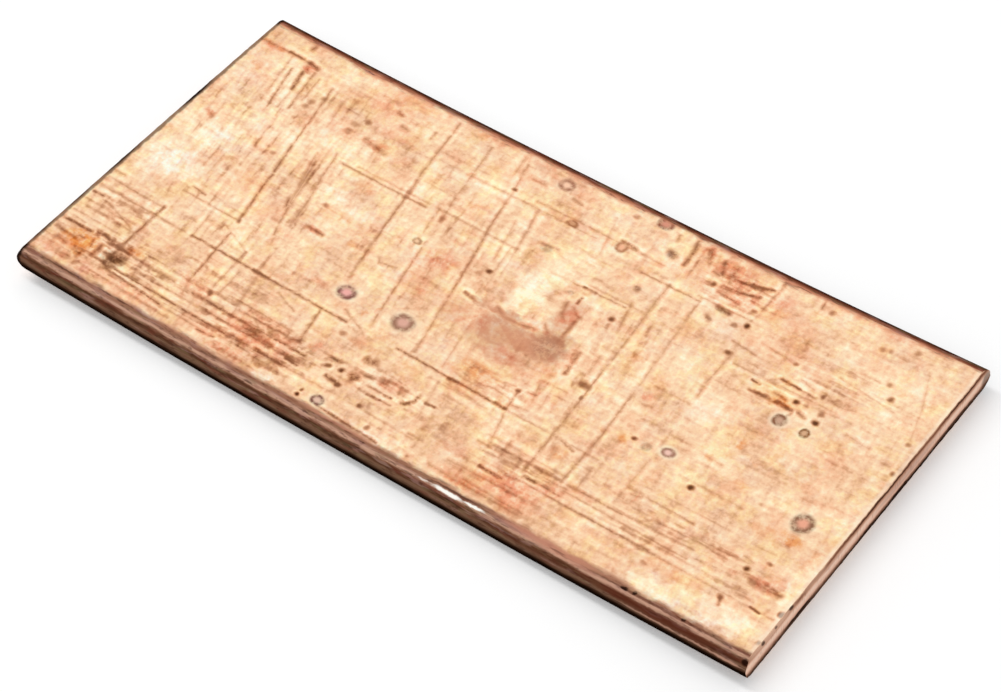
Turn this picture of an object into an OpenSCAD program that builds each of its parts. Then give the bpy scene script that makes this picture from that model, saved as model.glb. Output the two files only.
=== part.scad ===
// Copper sheet: one piece of rolled flat stock with round long edges.
// It was sheared to length and still has a slight bow from its coil.
// The length runs along X, the width along Y, and it rests on Z = 0.

/* [Rolled stock] */
// Width over the two rolled edges
sheet_width = 50; // [20:0.5:120]
// Thickness between the broad faces
sheet_thickness = 3; // [2.4:0.1:6]
// Radius of the four rolled corners of the section
edge_radius = 1.4; // [0.4:0.05:2.5]

/* [Cut length and bow] */
// Length along the lower face, from end to end
sheet_length = 102; // [60:1:250]
// Radius of the bow, measured to the lower face
bow_radius = 1000; // [500:10:5000]
// Flat stretch in the middle, which carries the sheet
flat_length = 20; // [10:1:40]

/* [Sheared ends] */
// Radius of the corner that the blade pulled round
rollover_radius = 0.6; // [0.55:0.05:1]
// How far that corner reaches down the cut
rollover_depth = 0.5; // [0.2:0.05:0.5]
// Height of the smooth band that the blade polished
burnish_height = 1.1; // [0.6:0.1:1.5]
// Slope of the torn part of the cut, in degrees
fracture_angle = 6; // [1:0.5:12]

/* [Hidden] */
$fa = 0.2;
$fs = 0.2;
copper = [0.85, 0.55, 0.38];
// How far a cut reaches past the stock
overcut = 1;
// A rolled corner takes at most half of the thickness
corner_radius = min(edge_radius, sheet_thickness / 2);
wing_length = (sheet_length - flat_length) / 2;
degrees_per_mm = 180 / PI / bow_radius;
fracture_height = sheet_thickness - rollover_depth - burnish_height;

// Section of the stock, lying on its side: x is minus the height, y the width.
module stock_section() {
    inner_width = sheet_width - 2 * corner_radius;
    inner_thickness = sheet_thickness - 2 * corner_radius;
    translate([-sheet_thickness / 2, 0]) {
        square([sheet_thickness, inner_width], center = true);
        if (inner_thickness > 0) square([inner_thickness, sheet_width], center = true);
        for (side = [-1, 1], face = [-1, 1])
            translate([face * inner_thickness / 2, side * inner_width / 2]) circle(corner_radius);
    }
}

// The flat stretch, centred over the origin.
module flat_stock() {
    rotate([0, 90, 0]) linear_extrude(flat_length, center = true) stock_section();
}

// Stock that leaves the origin along +X and bends upwards, a little longer than the wing.
module bent_stock() {
    translate([0, 0, bow_radius]) rotate([90, 90, 0])
        rotate_extrude(angle = (wing_length + overcut) * degrees_per_mm)
        translate([bow_radius, 0]) stock_section();
}

// What the blade takes off, seen from the side: x points out of the end, y up the cut.
// From low to high it leaves the torn slope, the polished band and the rolled-over corner.
module shear_outline() {
    shoulder = sheet_thickness - rollover_depth;
    polygon([
        [-tan(fracture_angle) * (fracture_height + overcut), -overcut],
        [0, fracture_height],
        [0, sheet_thickness + overcut],
        [2 * overcut, sheet_thickness + overcut],
        [2 * overcut, -overcut]
    ]);
    difference() {
        translate([-rollover_radius, shoulder]) square([rollover_radius, rollover_depth + overcut]);
        translate([-rollover_radius, shoulder]) circle(rollover_radius);
    }
}

// The cut as a solid at the end of a wing. The blade's side of the sheet has the rolled-over corner.
module shear_cut(blade_above) {
    translate([0, 0, bow_radius]) rotate([0, -wing_length * degrees_per_mm, 0])
        translate([0, 0, blade_above ? -bow_radius : sheet_thickness - bow_radius])
        mirror([0, 0, blade_above ? 0 : 1])
        rotate([90, 0, 0]) linear_extrude(sheet_width + 2 * overcut, center = true) shear_outline();
}

// One wing of the bow, from the flat stretch to its sheared end.
module wing(blade_above) {
    translate([flat_length / 2, 0, 0]) difference() {
        bent_stock();
        shear_cut(blade_above);
    }
}

// One end was cut with the blade above the sheet, and the other end with the blade below it.
module copper_sheet() {
    color(copper) union() {
        flat_stock();
        wing(blade_above = true);
        mirror([1, 0, 0]) wing(blade_above = false);
    }
}

copper_sheet();
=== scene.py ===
# %% [markdown]
# # A piece of copper sheet, dressed for the studio
# The part is one piece of stock: copper rolled 50 mm wide and 3 mm thick with round long edges,
# then sheared to length. The frame brings its plain solid. What the solid lacks is everything
# that makes it look used: oxide on the rolled edges, rolling lines, scratches, the rings of dried
# drops and the torn bands of the sheared ends. This lesson makes those in three steps: a stage, a
# fine mesh that follows the solid, and four finishes built from shared node groups.

# %% Load the frame
import math

import bmesh
import bpy
from mathutils import Matrix, Vector, noise


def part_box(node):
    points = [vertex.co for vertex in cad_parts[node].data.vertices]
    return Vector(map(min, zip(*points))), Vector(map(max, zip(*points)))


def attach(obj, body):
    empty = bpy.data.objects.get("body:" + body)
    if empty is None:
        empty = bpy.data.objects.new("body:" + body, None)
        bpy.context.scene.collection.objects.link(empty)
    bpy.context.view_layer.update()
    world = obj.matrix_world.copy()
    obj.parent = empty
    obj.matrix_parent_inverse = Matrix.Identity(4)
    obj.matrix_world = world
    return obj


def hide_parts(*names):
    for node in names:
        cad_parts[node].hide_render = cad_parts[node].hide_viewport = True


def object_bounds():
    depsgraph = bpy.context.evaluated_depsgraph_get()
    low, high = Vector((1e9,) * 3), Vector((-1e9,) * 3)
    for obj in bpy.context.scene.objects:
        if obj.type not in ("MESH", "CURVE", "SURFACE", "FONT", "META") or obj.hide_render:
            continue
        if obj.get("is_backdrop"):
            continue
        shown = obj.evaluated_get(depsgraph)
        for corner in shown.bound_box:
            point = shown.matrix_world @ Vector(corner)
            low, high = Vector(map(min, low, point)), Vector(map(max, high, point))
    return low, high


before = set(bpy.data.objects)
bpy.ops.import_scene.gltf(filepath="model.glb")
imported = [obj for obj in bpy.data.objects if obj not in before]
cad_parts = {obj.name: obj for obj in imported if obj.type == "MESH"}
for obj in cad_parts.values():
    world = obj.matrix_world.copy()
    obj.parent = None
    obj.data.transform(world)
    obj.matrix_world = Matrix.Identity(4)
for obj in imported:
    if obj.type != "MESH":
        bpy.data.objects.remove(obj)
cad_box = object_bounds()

MM = 0.001
SHEET = "copper_sheet"
print("CAD box:", [[round(side / MM, 2) for side in corner] for corner in cad_box], "mm")

# %% [markdown]
# ## The stage
# A picture of metal is mostly a picture of what the metal mirrors. A white floor under a white sky
# gives copper its own colour from every side, the way a light tent does. One could light it with
# lamps alone, but then the flat face would mirror the dark room between them. So the sky and the
# floor are white to the camera and to mirrored rays, and one long softbox overhead lights the scale
# and draws the soft shadow on the floor. The metal doesn't mirror that softbox, because a flat face
# that does burns out in the view from above.

# %% Camera
IMAGE_WIDTH = 1001  # pixels
FOCAL_LENGTH = 2910.3  # pixels
SENSOR_WIDTH = 36.0  # mm, the camera's default
CAMERA_AZIMUTH = math.radians(37.97)
CAMERA_ELEVATION = math.radians(48.48)
CAMERA_ROLL = math.radians(-2.20)
CAMERA_DISTANCE = 333.84 * MM
CAMERA_TARGET = Vector((2.20, -1.46, 0.0)) * MM
CAMERA_NEAREST = 0.01  # m, where the camera starts to see

scene = bpy.context.scene
scene.view_settings.view_transform = "Standard"


def make_camera():
    """A camera on a sphere round the target, turned a little about its own line of sight."""
    level = math.cos(CAMERA_ELEVATION)
    aside, ahead = math.sin(CAMERA_AZIMUTH) * level, math.cos(CAMERA_AZIMUTH) * level
    back = Vector((aside, -ahead, math.sin(CAMERA_ELEVATION)))
    right = Vector((0, 0, 1)).cross(back).normalized()
    up = back.cross(right)
    rolled_right = right * math.cos(CAMERA_ROLL) + up * math.sin(CAMERA_ROLL)
    rolled_up = up * math.cos(CAMERA_ROLL) - right * math.sin(CAMERA_ROLL)
    data = bpy.data.cameras.new("photo_camera")
    data.sensor_width = SENSOR_WIDTH
    data.lens = FOCAL_LENGTH / IMAGE_WIDTH * SENSOR_WIDTH
    data.clip_start = CAMERA_NEAREST
    camera = bpy.data.objects.new("photo_camera", data)
    turn = Matrix((rolled_right, rolled_up, back)).transposed().to_4x4()
    camera.matrix_world = Matrix.Translation(CAMERA_TARGET + back * CAMERA_DISTANCE) @ turn
    scene.collection.objects.link(camera)
    return camera


scene.camera = make_camera()
print("lens:", round(scene.camera.data.lens, 2), "mm")

# %% [markdown]
# ### Small tools for node trees
# Every material below is a chain of nodes. Writing each node as several lines would bury the idea,
# so these helpers add one node, join or set its inputs in order, and hand back the output socket.

# %% Node helpers
MIX_FACTOR, MIX_UNDER, MIX_OVER, MIX_RESULT = 0, 6, 7, 2  # where a Mix node keeps its colour sockets
NOISE_MIDDLE = 0.5  # the value round which a noise swings


def join(tree, value, socket):
    """Links a socket to this one, or sets this one to a plain value."""
    if isinstance(value, bpy.types.NodeSocket):
        tree.links.new(value, socket)
    elif value is not None:
        socket.default_value = value


def add(tree, kind, *inputs, **settings):
    """Adds a node, with its settings and its inputs in order. None leaves an input as it is."""
    made = tree.nodes.new("ShaderNode" + kind)
    for name, value in settings.items():
        setattr(made, name, value)
    for socket, value in zip(made.inputs, inputs):
        join(tree, value, socket)
    return made


def calc(tree, operation, *values):
    return add(tree, "Math", *values, operation=operation).outputs[0]


def vector(tree, operation, *values):
    made = add(tree, "VectorMath", *values, operation=operation)
    return made.outputs["Value" if operation in ("DOT_PRODUCT", "LENGTH") else "Vector"]


def ease(tree, value, start, end):
    """0 at start, 1 at end, with a soft curve between them."""
    return add(tree, "MapRange", value, start, end, interpolation_type="SMOOTHSTEP", clamp=False).outputs[0]


def blend(tree, factor, under, over):
    """Lays one colour over another."""
    made = add(tree, "Mix", data_type="RGBA")
    for value, socket in ((factor, MIX_FACTOR), (under, MIX_UNDER), (over, MIX_OVER)):
        join(tree, value, made.inputs[socket])
    return made.outputs[MIX_RESULT]


def clouds(tree, place, scale, detail=2.0, roughness=0.5):
    """A flat noise. Its first output is one value, and its second has one value per axis."""
    return add(tree, "TexNoise", place, None, scale, detail, roughness, noise_dimensions="2D").outputs


def swings(tree, place, scale, detail=2.0, roughness=0.5):
    """The first value of a flat noise, moved so that it swings round 0."""
    return calc(tree, "SUBTRACT", clouds(tree, place, scale, detail, roughness)[0], NOISE_MIDDLE)


def rgb(red, green, blue):
    """A colour as a screen shows it, 0 to 255, in the linear numbers that shaders use."""
    shares = [value / 255 for value in (red, green, blue)]
    return [s / 12.92 if s <= 0.04045 else ((s + 0.055) / 1.055) ** 2.4 for s in shares] + [1.0]


def seen_directly(tree):
    """1 for rays from the camera, off a mirror or through glass, and 0 for rays that only light things."""
    path = add(tree, "LightPath").outputs
    mirrored = calc(tree, "MAXIMUM", path["Is Glossy Ray"], path["Is Transmission Ray"])
    return calc(tree, "MAXIMUM", path["Is Camera Ray"], mirrored)


# %% Sky, floor and softbox
WHITE = (1.0, 1.0, 1.0, 1.0)
SKY_LIGHT = 0.72  # how much of white the sky sends to surfaces that scatter light
FLOOR_SIZE = 4.0  # m
FLOOR_GAP = 0.02 * MM  # keeps the floor out of the sheet's lower face
FLOOR_COLOUR = (0.80, 0.80, 0.80, 1.0)
FLOOR_ROUGHNESS = 0.9
FLOOR_LIFT = 0.24  # added where the floor is seen, so that paper in full light is white
SOFTBOX_FROM = Vector((-0.41, -0.02, 0.91))
SOFTBOX_DISTANCE = 0.75  # m
SOFTBOX_LENGTH, SOFTBOX_WIDTH = 0.70, 0.16  # m, along the sheet and across it
SOFTBOX_POWER = 1.9  # W


def make_sky():
    world = bpy.data.worlds.new("white_sky")
    world.use_nodes = True
    tree = world.node_tree
    lift = calc(tree, "MULTIPLY", seen_directly(tree), 1.0 - SKY_LIGHT)
    sky = tree.nodes["Background"]
    sky.inputs["Color"].default_value = WHITE
    join(tree, calc(tree, "ADD", lift, SKY_LIGHT), sky.inputs["Strength"])
    scene.world = world


def make_floor():
    bpy.ops.mesh.primitive_plane_add(size=FLOOR_SIZE, location=(0, 0, -FLOOR_GAP))
    floor = bpy.context.object
    floor.name = "paper_floor"
    paper = bpy.data.materials.new("white_paper")
    paper.use_nodes = True
    tree = paper.node_tree
    shader = tree.nodes["Principled BSDF"].inputs
    shader["Base Color"].default_value = FLOOR_COLOUR
    shader["Roughness"].default_value = FLOOR_ROUGHNESS
    shader["Specular IOR Level"].default_value = 0.0
    shader["Emission Color"].default_value = WHITE
    join(tree, calc(tree, "MULTIPLY", seen_directly(tree), FLOOR_LIFT), shader["Emission Strength"])
    floor.data.materials.append(paper)
    floor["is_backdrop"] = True


def make_softbox():
    data = bpy.data.lights.new("softbox", "AREA")
    data.shape = "RECTANGLE"
    data.size, data.size_y = SOFTBOX_LENGTH, SOFTBOX_WIDTH
    data.energy = SOFTBOX_POWER
    softbox = bpy.data.objects.new("softbox", data)
    away = SOFTBOX_FROM.normalized()
    across = away.cross(Vector((1, 0, 0))).normalized()
    turn = Matrix((across.cross(away), across, away)).transposed().to_4x4()
    softbox.matrix_world = Matrix.Translation(away * SOFTBOX_DISTANCE) @ turn
    softbox.visible_glossy = False
    scene.collection.objects.link(softbox)


make_sky()
make_floor()
make_softbox()
print("stage: sky at", SKY_LIGHT, "softbox at", SOFTBOX_POWER, "W")

# %% [markdown]
# ## The mesh
# The stock was rolled, so its section is the same all along: two flat faces and round long edges. A
# mesh made of lines of points that follow the rolling direction suits that. It could be a cube with
# a bevel and a bend modifier, but then the shear's three bands and the burr would have to be cut in
# afterwards. Instead each point is worked out from three numbers, as a mill hand would measure it:
# how far along the piece, how far across it and how high in its thickness. One function then bends
# the flat layout along the coil set.

# %% Sizes of the stock, in millimetres
low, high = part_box(SHEET)
WIDTH = (high.y - low.y) / MM
LENGTH = 102.0  # along the lower face
THICKNESS = 3.0
EDGE_RADIUS = 1.4
FLAT_LENGTH = 20.0  # the stretch in the middle that lies on the floor
BOW_RADIUS = 1000.0
ROLLOVER_RADIUS = 0.6
ROLLOVER_DEPTH = 0.5
BURNISH_HEIGHT = 1.1
FRACTURE_SLOPE = math.tan(math.radians(6.0))
LEFT_BULGE = 0.12  # the left cut stands out this much in the middle of the width
WORN_BACK, WORN_HEIGHT, WORN_WIDTH = 1.8, 2.4, 14.0  # the lower near corner of the left cut is worn round
WORN_CURVE = 1.5  # the higher, the lower down the wear stays

TANGENT = WIDTH / 2 - EDGE_RADIUS  # where the flat face ends, from the middle of the width
CORNER_ARC = EDGE_RADIUS * math.pi / 2
SIDE_FLAT = THICKNESS - 2 * EDGE_RADIUS
ROUND_THE_EDGE = 2 * CORNER_ARC + SIDE_FLAT  # from flat face to flat face
SHOULDER = THICKNESS - ROLLOVER_DEPTH
FRACTURE_TOP = SHOULDER - BURNISH_HEIGHT
print("flat face:", round(2 * TANGENT, 1), "mm wide; round the edge:", round(ROUND_THE_EDGE, 2), "mm")


# %% From the flat layout to the bowed sheet
def bend(along, across, height):
    """Metres in the shared frame, from millimetres on the straight stock."""
    angle = max(abs(along) - FLAT_LENGTH / 2, 0.0) / BOW_RADIUS
    reach = min(abs(along), FLAT_LENGTH / 2) + (BOW_RADIUS - height) * math.sin(angle)
    rise = BOW_RADIUS - (BOW_RADIUS - height) * math.cos(angle)
    return Vector((math.copysign(reach, along), across, rise)) * MM


def cut_back(height):
    """How far the cut stands back from the full length, by the height above the side away from the blade."""
    if height > SHOULDER:
        return ROLLOVER_RADIUS - math.sqrt(ROLLOVER_RADIUS**2 - (height - SHOULDER) ** 2)
    return max(FRACTURE_TOP - height, 0.0) * FRACTURE_SLOPE


def end_at(right, across, height):
    """Where the sheet ends. The blade came from above on the right and from below on the left."""
    if right:
        return LENGTH / 2 - cut_back(height)
    return cut_back(THICKNESS - height) - LENGTH / 2 - LEFT_BULGE * (1 - (2 * across / WIDTH) ** 2)


def worn_corner(across, height):
    """How far wear has moved the lower near corner of the left cut back."""
    lowness = max(1.0 - height / WORN_HEIGHT, 0.0)
    nearness = max(1.0 - (across + WIDTH / 2) / WORN_WIDTH, 0.0)
    return WORN_BACK * lowness**WORN_CURVE * nearness


print("rolled-over corner stands back", round(cut_back(THICKNESS), 2), "mm at the face")

# %% [markdown]
# ### Dents, burr and tear
# Besides the worn corner, three kinds of damage are large enough for the mesh: shallow dents on the face
# and the long edges, the burr that the shear leaves on the side away from its blade, and the rough torn
# band under the polished one. Smaller marks stay in the materials. The dents are a short list, placed by
# the photograph, and the rest follows a noise that is the same on every run.

# %% Relief
# along, distance from the middle across the surface, reach along, reach across, depth
DENTS = [
    (12.8, -23.95, 4.4, 0.55, 0.10),
    (35.2, -23.75, 1.3, 0.50, 0.12),
    (42.3, -23.70, 0.9, 0.45, 0.08),
    (-7.5, -24.40, 2.6, 0.70, 0.05),
    (-33.0, -23.60, 3.0, 0.50, 0.05),
    (8.0, -0.6, 3.4, 3.0, 0.05),
    (1.8, 4.2, 3.0, 2.6, 0.03),
    (-40.8, -19.0, 1.6, 1.4, 0.04),
    (25.2, 23.7, 0.8, 0.6, 0.07),
    (-44.2, 23.6, 0.9, 0.6, 0.08),
    (-24.0, 24.2, 3.0, 0.6, 0.05),
]
SWELL_HEIGHT, SWELL_SIZE = 0.018, 14.0  # slow waves that rolling leaves in a broad face
BURR_LEAST, BURR_MORE, BURR_SIZE = 0.03, 0.09, 1.1
TEAR_DEPTH, TEAR_SIZE = 0.07, 0.55
TEAR_GROWTH = FRACTURE_TOP / 3  # how far below the polished band the tear has its full depth
BURR_LAYER, TEAR_LAYER = 7.0, 3.0  # two layers of one noise, so that burr and tear don't match


def dent(along, spread):
    depth = 0.0
    for at_along, at_spread, reach_along, reach_across, deepest in DENTS:
        distance = math.hypot((along - at_along) / reach_along, (spread - at_spread) / reach_across)
        depth += deepest * max(1.0 - distance * distance, 0.0) ** 2
    return depth


def swell(along, across):
    return SWELL_HEIGHT * noise.noise(Vector((along, across, 0.0)) / SWELL_SIZE)


def burr(across):
    return BURR_LEAST + BURR_MORE * abs(noise.noise(Vector((across / BURR_SIZE, 0.0, BURR_LAYER))))


def tear(across, height):
    """Roughness of the torn band, none on the polished band."""
    share = min(max((FRACTURE_TOP - height) / TEAR_GROWTH, 0.0), 1.0)
    return TEAR_DEPTH * share * noise.noise(Vector((across / TEAR_SIZE, height / TEAR_SIZE, TEAR_LAYER)))


print("dents:", len(DENTS), "deepest", max(mark[-1] for mark in DENTS), "mm")

# %% [markdown]
# ### Lines of points
# Each line runs the whole length of the piece. Across the flat face the lines lie evenly, and round a
# rolled corner they follow the arc. The upper and the lower half have the same lines, so the ends can be
# closed by rungs from one half to the other. Each point also keeps its measures: how far along it is, how
# far past the upper face round the edge, and how high. The materials read them later.

# %% Build the points
GRID = 0.4  # between points on a flat face
CORNER_STEPS = 10
WORN_FADE = 24  # the higher, the nearer to the end the wear stays
# Heights of the rungs on a cut, from the blade's side to the far side
RUNGS = [2.94, 2.86, 2.75, 2.62, SHOULDER, 2.2, 1.9, 1.62, FRACTURE_TOP, 1.2, 0.98, 0.75, 0.5, 0.25]


def section_lines():
    """(across, drop below the flat face, distance from the middle along the surface, lean of the normal)."""
    corner = []
    for step in range(1, CORNER_STEPS + 1):
        angle = math.pi / 2 * step / CORNER_STEPS
        drop = EDGE_RADIUS * (1 - math.cos(angle))
        corner.append((TANGENT + EDGE_RADIUS * math.sin(angle), drop, TANGENT + EDGE_RADIUS * angle, angle))
    near = [(-across, drop, -spread, -lean) for across, drop, spread, lean in reversed(corner)]
    count = round(2 * TANGENT / GRID)
    flat = [2 * TANGENT * (i / count - 0.5) for i in range(count + 1)]
    return near + [(across, 0.0, across, 0.0) for across in flat] + corner


lines = section_lines()
stations = round(LENGTH / GRID)
points, measures = [], []


def add_point(along, across, height, past, shift=0.0):
    """Adds a point with its measures and returns its number. Wear shifts the point, not its measures."""
    points.append(bend(along + shift, across, height))
    measures.append((along, past, height))
    return len(points) - 1


def half_sheet(upper):
    """One broad face with its rolled corners, as rows of point numbers."""
    rows = []
    out = 1 if upper else -1
    for station in range(stations + 1):
        row = []
        for across, drop, spread, lean in lines:
            height = THICKNESS - drop if upper else drop
            start, stop = end_at(False, across, height), end_at(True, across, height)
            along = start + (stop - start) * station / stations
            if station in (0, stations) and upper == (station == 0):
                along += math.copysign(burr(across), along)
            inward = swell(along, across) * math.cos(lean)
            if upper:
                inward += dent(along, spread)
            past = abs(spread) - TANGENT if upper else ROUND_THE_EDGE + TANGENT - abs(spread)
            moved = (across - inward * math.sin(lean), height - out * inward * math.cos(lean))
            shift = worn_corner(across, height) * (1 - station / stations) ** WORN_FADE
            row.append(add_point(along, *moved, past, shift))
        rows.append(row)
    return rows


upper_rows, lower_rows = half_sheet(True), half_sheet(False)
print("lines:", len(lines), "stations:", stations + 1, "points:", len(points))

# %% [markdown]
# ### Faces and finishes
# Every face gets the number of its finish. The upper face carries hundreds of marks, and a shader tries
# every mark at every point, so the face is divided into stretches along its length. Each stretch has its own
# material with the marks that reach it, and the render takes a fraction of the time.

# %% Build the faces
STRETCHES = 6
EDGE, LOWER, CUT = range(STRETCHES, STRETCHES + 3)  # finishes after those of the upper stretches
UPPER_MAP, LOWER_MAP, LEFT_MAP, RIGHT_MAP = range(4)  # islands of the UV map
faces, finishes, islands = [], [], []


def add_face(corners, finish, island):
    faces.append(corners)
    finishes.append(finish)
    islands.append(island)


def face_half(rows, island):
    for station in range(stations):
        a, b = rows[station], rows[station + 1]
        flat_finish = station * STRETCHES // stations if island == UPPER_MAP else LOWER
        for i in range(len(lines) - 1):
            flat = lines[i][1] == lines[i + 1][1] == 0.0
            add_face((a[i], b[i], b[i + 1], a[i + 1]), flat_finish if flat else EDGE, island)


def face_side(i):
    """The narrow flat between the rolled corners, on one long side."""
    for a, b in zip(range(stations), range(1, stations + 1)):
        corners = (upper_rows[a][i], upper_rows[b][i], lower_rows[b][i], lower_rows[a][i])
        add_face(corners, EDGE, LOWER_MAP)


def face_cut(right):
    """The rungs of one sheared end and the faces between them."""
    island = RIGHT_MAP if right else LEFT_MAP
    top, bottom = upper_rows[stations if right else 0], lower_rows[stations if right else 0]
    ladders = []
    for i in range(1, len(lines) - 1):
        across, drop = lines[i][:2]
        ladder = [top[i]]
        for rung in RUNGS if right else [THICKNESS - rung for rung in reversed(RUNGS)]:
            height = drop + (THICKNESS - 2 * drop) * rung / THICKNESS
            depth = height if right else THICKNESS - height
            along = end_at(right, across, height) + tear(across, depth)
            shift = 0.0 if right else worn_corner(across, height)
            ladder.append(add_point(along, across, height, 0.0, shift))
        ladders.append(ladder + [bottom[i]])
    for a, b in zip(ladders, ladders[1:]):
        for k in range(len(a) - 1):
            add_face((a[k], a[k + 1], b[k + 1], b[k]), CUT, island)
    middle = len(RUNGS) // 2
    for ladder, i in ((ladders[0], 0), (ladders[-1], -1)):
        for k in range(len(ladder) - 1):
            tips = (top[i], bottom[i]) if k == middle else (top[i] if k < middle else bottom[i],)
            add_face((ladder[k + 1], ladder[k], *tips), CUT, island)


face_half(upper_rows, UPPER_MAP)
face_half(lower_rows, LOWER_MAP)
face_side(0)
face_side(-1)
face_cut(True)
face_cut(False)
print("faces:", len(faces), "about", 2 * len(faces), "triangles")

# %% [markdown]
# ### One mesh with its measures and its map
# The lists become a mesh. The measures go in as a point attribute, and the unrolled surface becomes a UV map,
# so that a baked picture of the finish has the same scale everywhere. The map lays the two halves above each
# other and the two cuts in a row on top.

# %% Make the mesh
MAP_SIDE = 110.0  # mm of sheet on each side of the map
MAP_MARGIN = 3.0
MAP_GAP = 0.6
MAP_HALF = 2 * (TANGENT + CORNER_ARC + SIDE_FLAT) + MAP_GAP  # mm of the map for one half
SHARP_ANGLE = math.radians(30)


def map_place(point, island):
    """A point's place on the UV map, in millimetres."""
    along, past, height = measures[point]
    across = points[point].y / MM
    if island in (LEFT_MAP, RIGHT_MAP):
        shift = WIDTH / 2 + (WIDTH + MAP_GAP if island == RIGHT_MAP else 0.0)
        return across + shift + MAP_MARGIN, height + 2 * MAP_HALF + 2 * MAP_GAP
    if island == UPPER_MAP:
        spread, middle = TANGENT + past, MAP_HALF / 2
    else:
        spread, middle = TANGENT + ROUND_THE_EDGE - past, MAP_HALF * 1.5
    return along + LENGTH / 2 + MAP_MARGIN, math.copysign(spread, across) + middle + MAP_GAP


def make_mesh():
    mesh = bpy.data.meshes.new("sheared_copper_sheet")
    mesh.from_pydata(points, [], faces)
    mesh.polygons.foreach_set("material_index", finishes)
    kept = mesh.attributes.new("stock_mm", "FLOAT_VECTOR", "POINT")
    kept.data.foreach_set("vector", [value for measure in measures for value in measure])
    uv = mesh.uv_layers.new(name="OFBake")
    for polygon, island in zip(mesh.polygons, islands):
        for loop in polygon.loop_indices:
            u, v = map_place(mesh.loops[loop].vertex_index, island)
            uv.data[loop].uv = (u / MAP_SIDE, v / MAP_SIDE)
    turned = bmesh.new()
    turned.from_mesh(mesh)
    bmesh.ops.recalc_face_normals(turned, faces=turned.faces)
    turned.to_mesh(mesh)
    turned.free()
    mesh.shade_smooth()
    mesh.set_sharp_from_angle(angle=SHARP_ANGLE)
    return mesh


piece = bpy.data.objects.new("sheared_copper_sheet", make_mesh())
scene.collection.objects.link(piece)
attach(piece, "root")
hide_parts(SHEET)
print("mesh:", len(piece.data.vertices), "points,", len(piece.data.polygons), "faces")

# %% [markdown]
# ## Shared effects
# Copper stock looks the way it does because a few things happened to all of it: the rolls drew fine lines
# along it, air turned it brown in clouds, and the edges kept the scale that the faces lost. Each of these is
# a node group with named sockets, built once and placed in several materials with its own values. Painting
# them on an image would be quicker, but an image has one size and one place, and a group has neither.

# %% Group helpers
SOCKETS = {"value": "NodeSocketFloat", "place": "NodeSocketVector", "colour": "NodeSocketColor"}


def new_group(name, inputs, outputs):
    """An empty group. Inputs are (label, kind, default) and outputs are (label, kind)."""
    tree = bpy.data.node_groups.new(name, "ShaderNodeTree")
    for label, kind, default in inputs:
        tree.interface.new_socket(label, in_out="INPUT", socket_type=SOCKETS[kind]).default_value = default
    for label, kind in outputs:
        tree.interface.new_socket(label, in_out="OUTPUT", socket_type=SOCKETS[kind])
    return tree, tree.nodes.new("NodeGroupInput").outputs, tree.nodes.new("NodeGroupOutput").inputs


def use(tree, group, **values):
    """Places a group. Socket names are given with _ for a space."""
    made = add(tree, "Group", node_tree=group)
    for name, value in values.items():
        join(tree, value, made.inputs[name.replace("_", " ")])
    return made.outputs


# %% [markdown]
# ### Wobble
# Nothing on a worn face has a ruled outline. Before a stain asks how far away it is, its place is pushed
# about by a noise, so that round marks come out lumpy and straight ones tremble.

# %% Wobble group
def wobble_group():
    tree, given, result = new_group(
        "Wobble",
        [("Place", "place", (0, 0, 0)), ("Reach", "value", 0.5), ("Lump", "value", 1.5)],
        [("Place", "place")],
    )
    scale = calc(tree, "DIVIDE", 1.0, given["Lump"])
    push = vector(tree, "SUBTRACT", clouds(tree, given["Place"], scale)[1], (NOISE_MIDDLE,) * 3)
    twice = calc(tree, "MULTIPLY", given["Reach"], 2.0)
    moved = vector(tree, "ADD", given["Place"], vector(tree, "SCALE", push, None, None, twice))
    join(tree, moved, result["Place"])
    return tree


WOBBLE = wobble_group()
print("group:", WOBBLE.name)

# %% [markdown]
# ### Drawn lines
# Rolls, grit and handling leave thin parallel lines. A noise that is stretched far along one direction gives
# them: its crests are long and thin, and a second noise breaks them into strokes. The same group draws the
# rolling lines, the lines of the shear on the cuts and the crosswise rub marks, each with its own turn.

# %% Drawn lines group
LINE_FROM, LINE_COVER = 0.70, -0.24  # noise from which a line shows, and what full cover adds to it
LINE_RISE = 0.12  # noise over which a line comes up to full strength
BREAK_SCALE, BREAK_FROM, BREAK_TO = 0.55, 0.36, 0.62  # the noise that breaks lines into strokes


def drawn_lines_group():
    tree, given, result = new_group(
        "Drawn lines",
        [
            ("Place", "place", (0, 0, 0)),
            ("Turn", "value", 0.0),
            ("Length", "value", 9.0),
            ("Pitch", "value", 0.4),
            ("Cover", "value", 0.3),
        ],
        [("Lines", "value"), ("Grain", "value")],
    )
    turn = add(tree, "VectorRotate", given["Place"], None, None, given["Turn"], rotation_type="Z_AXIS")
    cell = add(tree, "CombineXYZ", given["Length"], given["Pitch"], 1.0).outputs[0]
    grain = clouds(tree, vector(tree, "DIVIDE", turn.outputs[0], cell), scale=1.0, detail=1.0)[0]
    least = calc(tree, "MULTIPLY_ADD", given["Cover"], LINE_COVER, LINE_FROM)
    crest = ease(tree, calc(tree, "SUBTRACT", grain, least), 0.0, LINE_RISE)
    breaks = clouds(tree, given["Place"], BREAK_SCALE, roughness=0.6)[0]
    broken = ease(tree, breaks, BREAK_FROM, BREAK_TO)
    join(tree, calc(tree, "MULTIPLY", crest, broken), result["Lines"])
    join(tree, grain, result["Grain"])
    return tree


DRAWN_LINES = drawn_lines_group()
print("group:", DRAWN_LINES.name)

# %% [markdown]
# ### Worn copper and its colour
# Bare copper is pale. As oxide grows on it, it turns peach, salmon and then brown, always in that order. So
# the wear is kept as one number, the amount of oxide, and one ramp turns it into a colour. Worn copper adds
# up what makes the number vary on any broad face: slow clouds, rolling streaks, rub marks across them and a
# fine grain. Both broad faces use it, the upper one with more rubbing.

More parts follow.
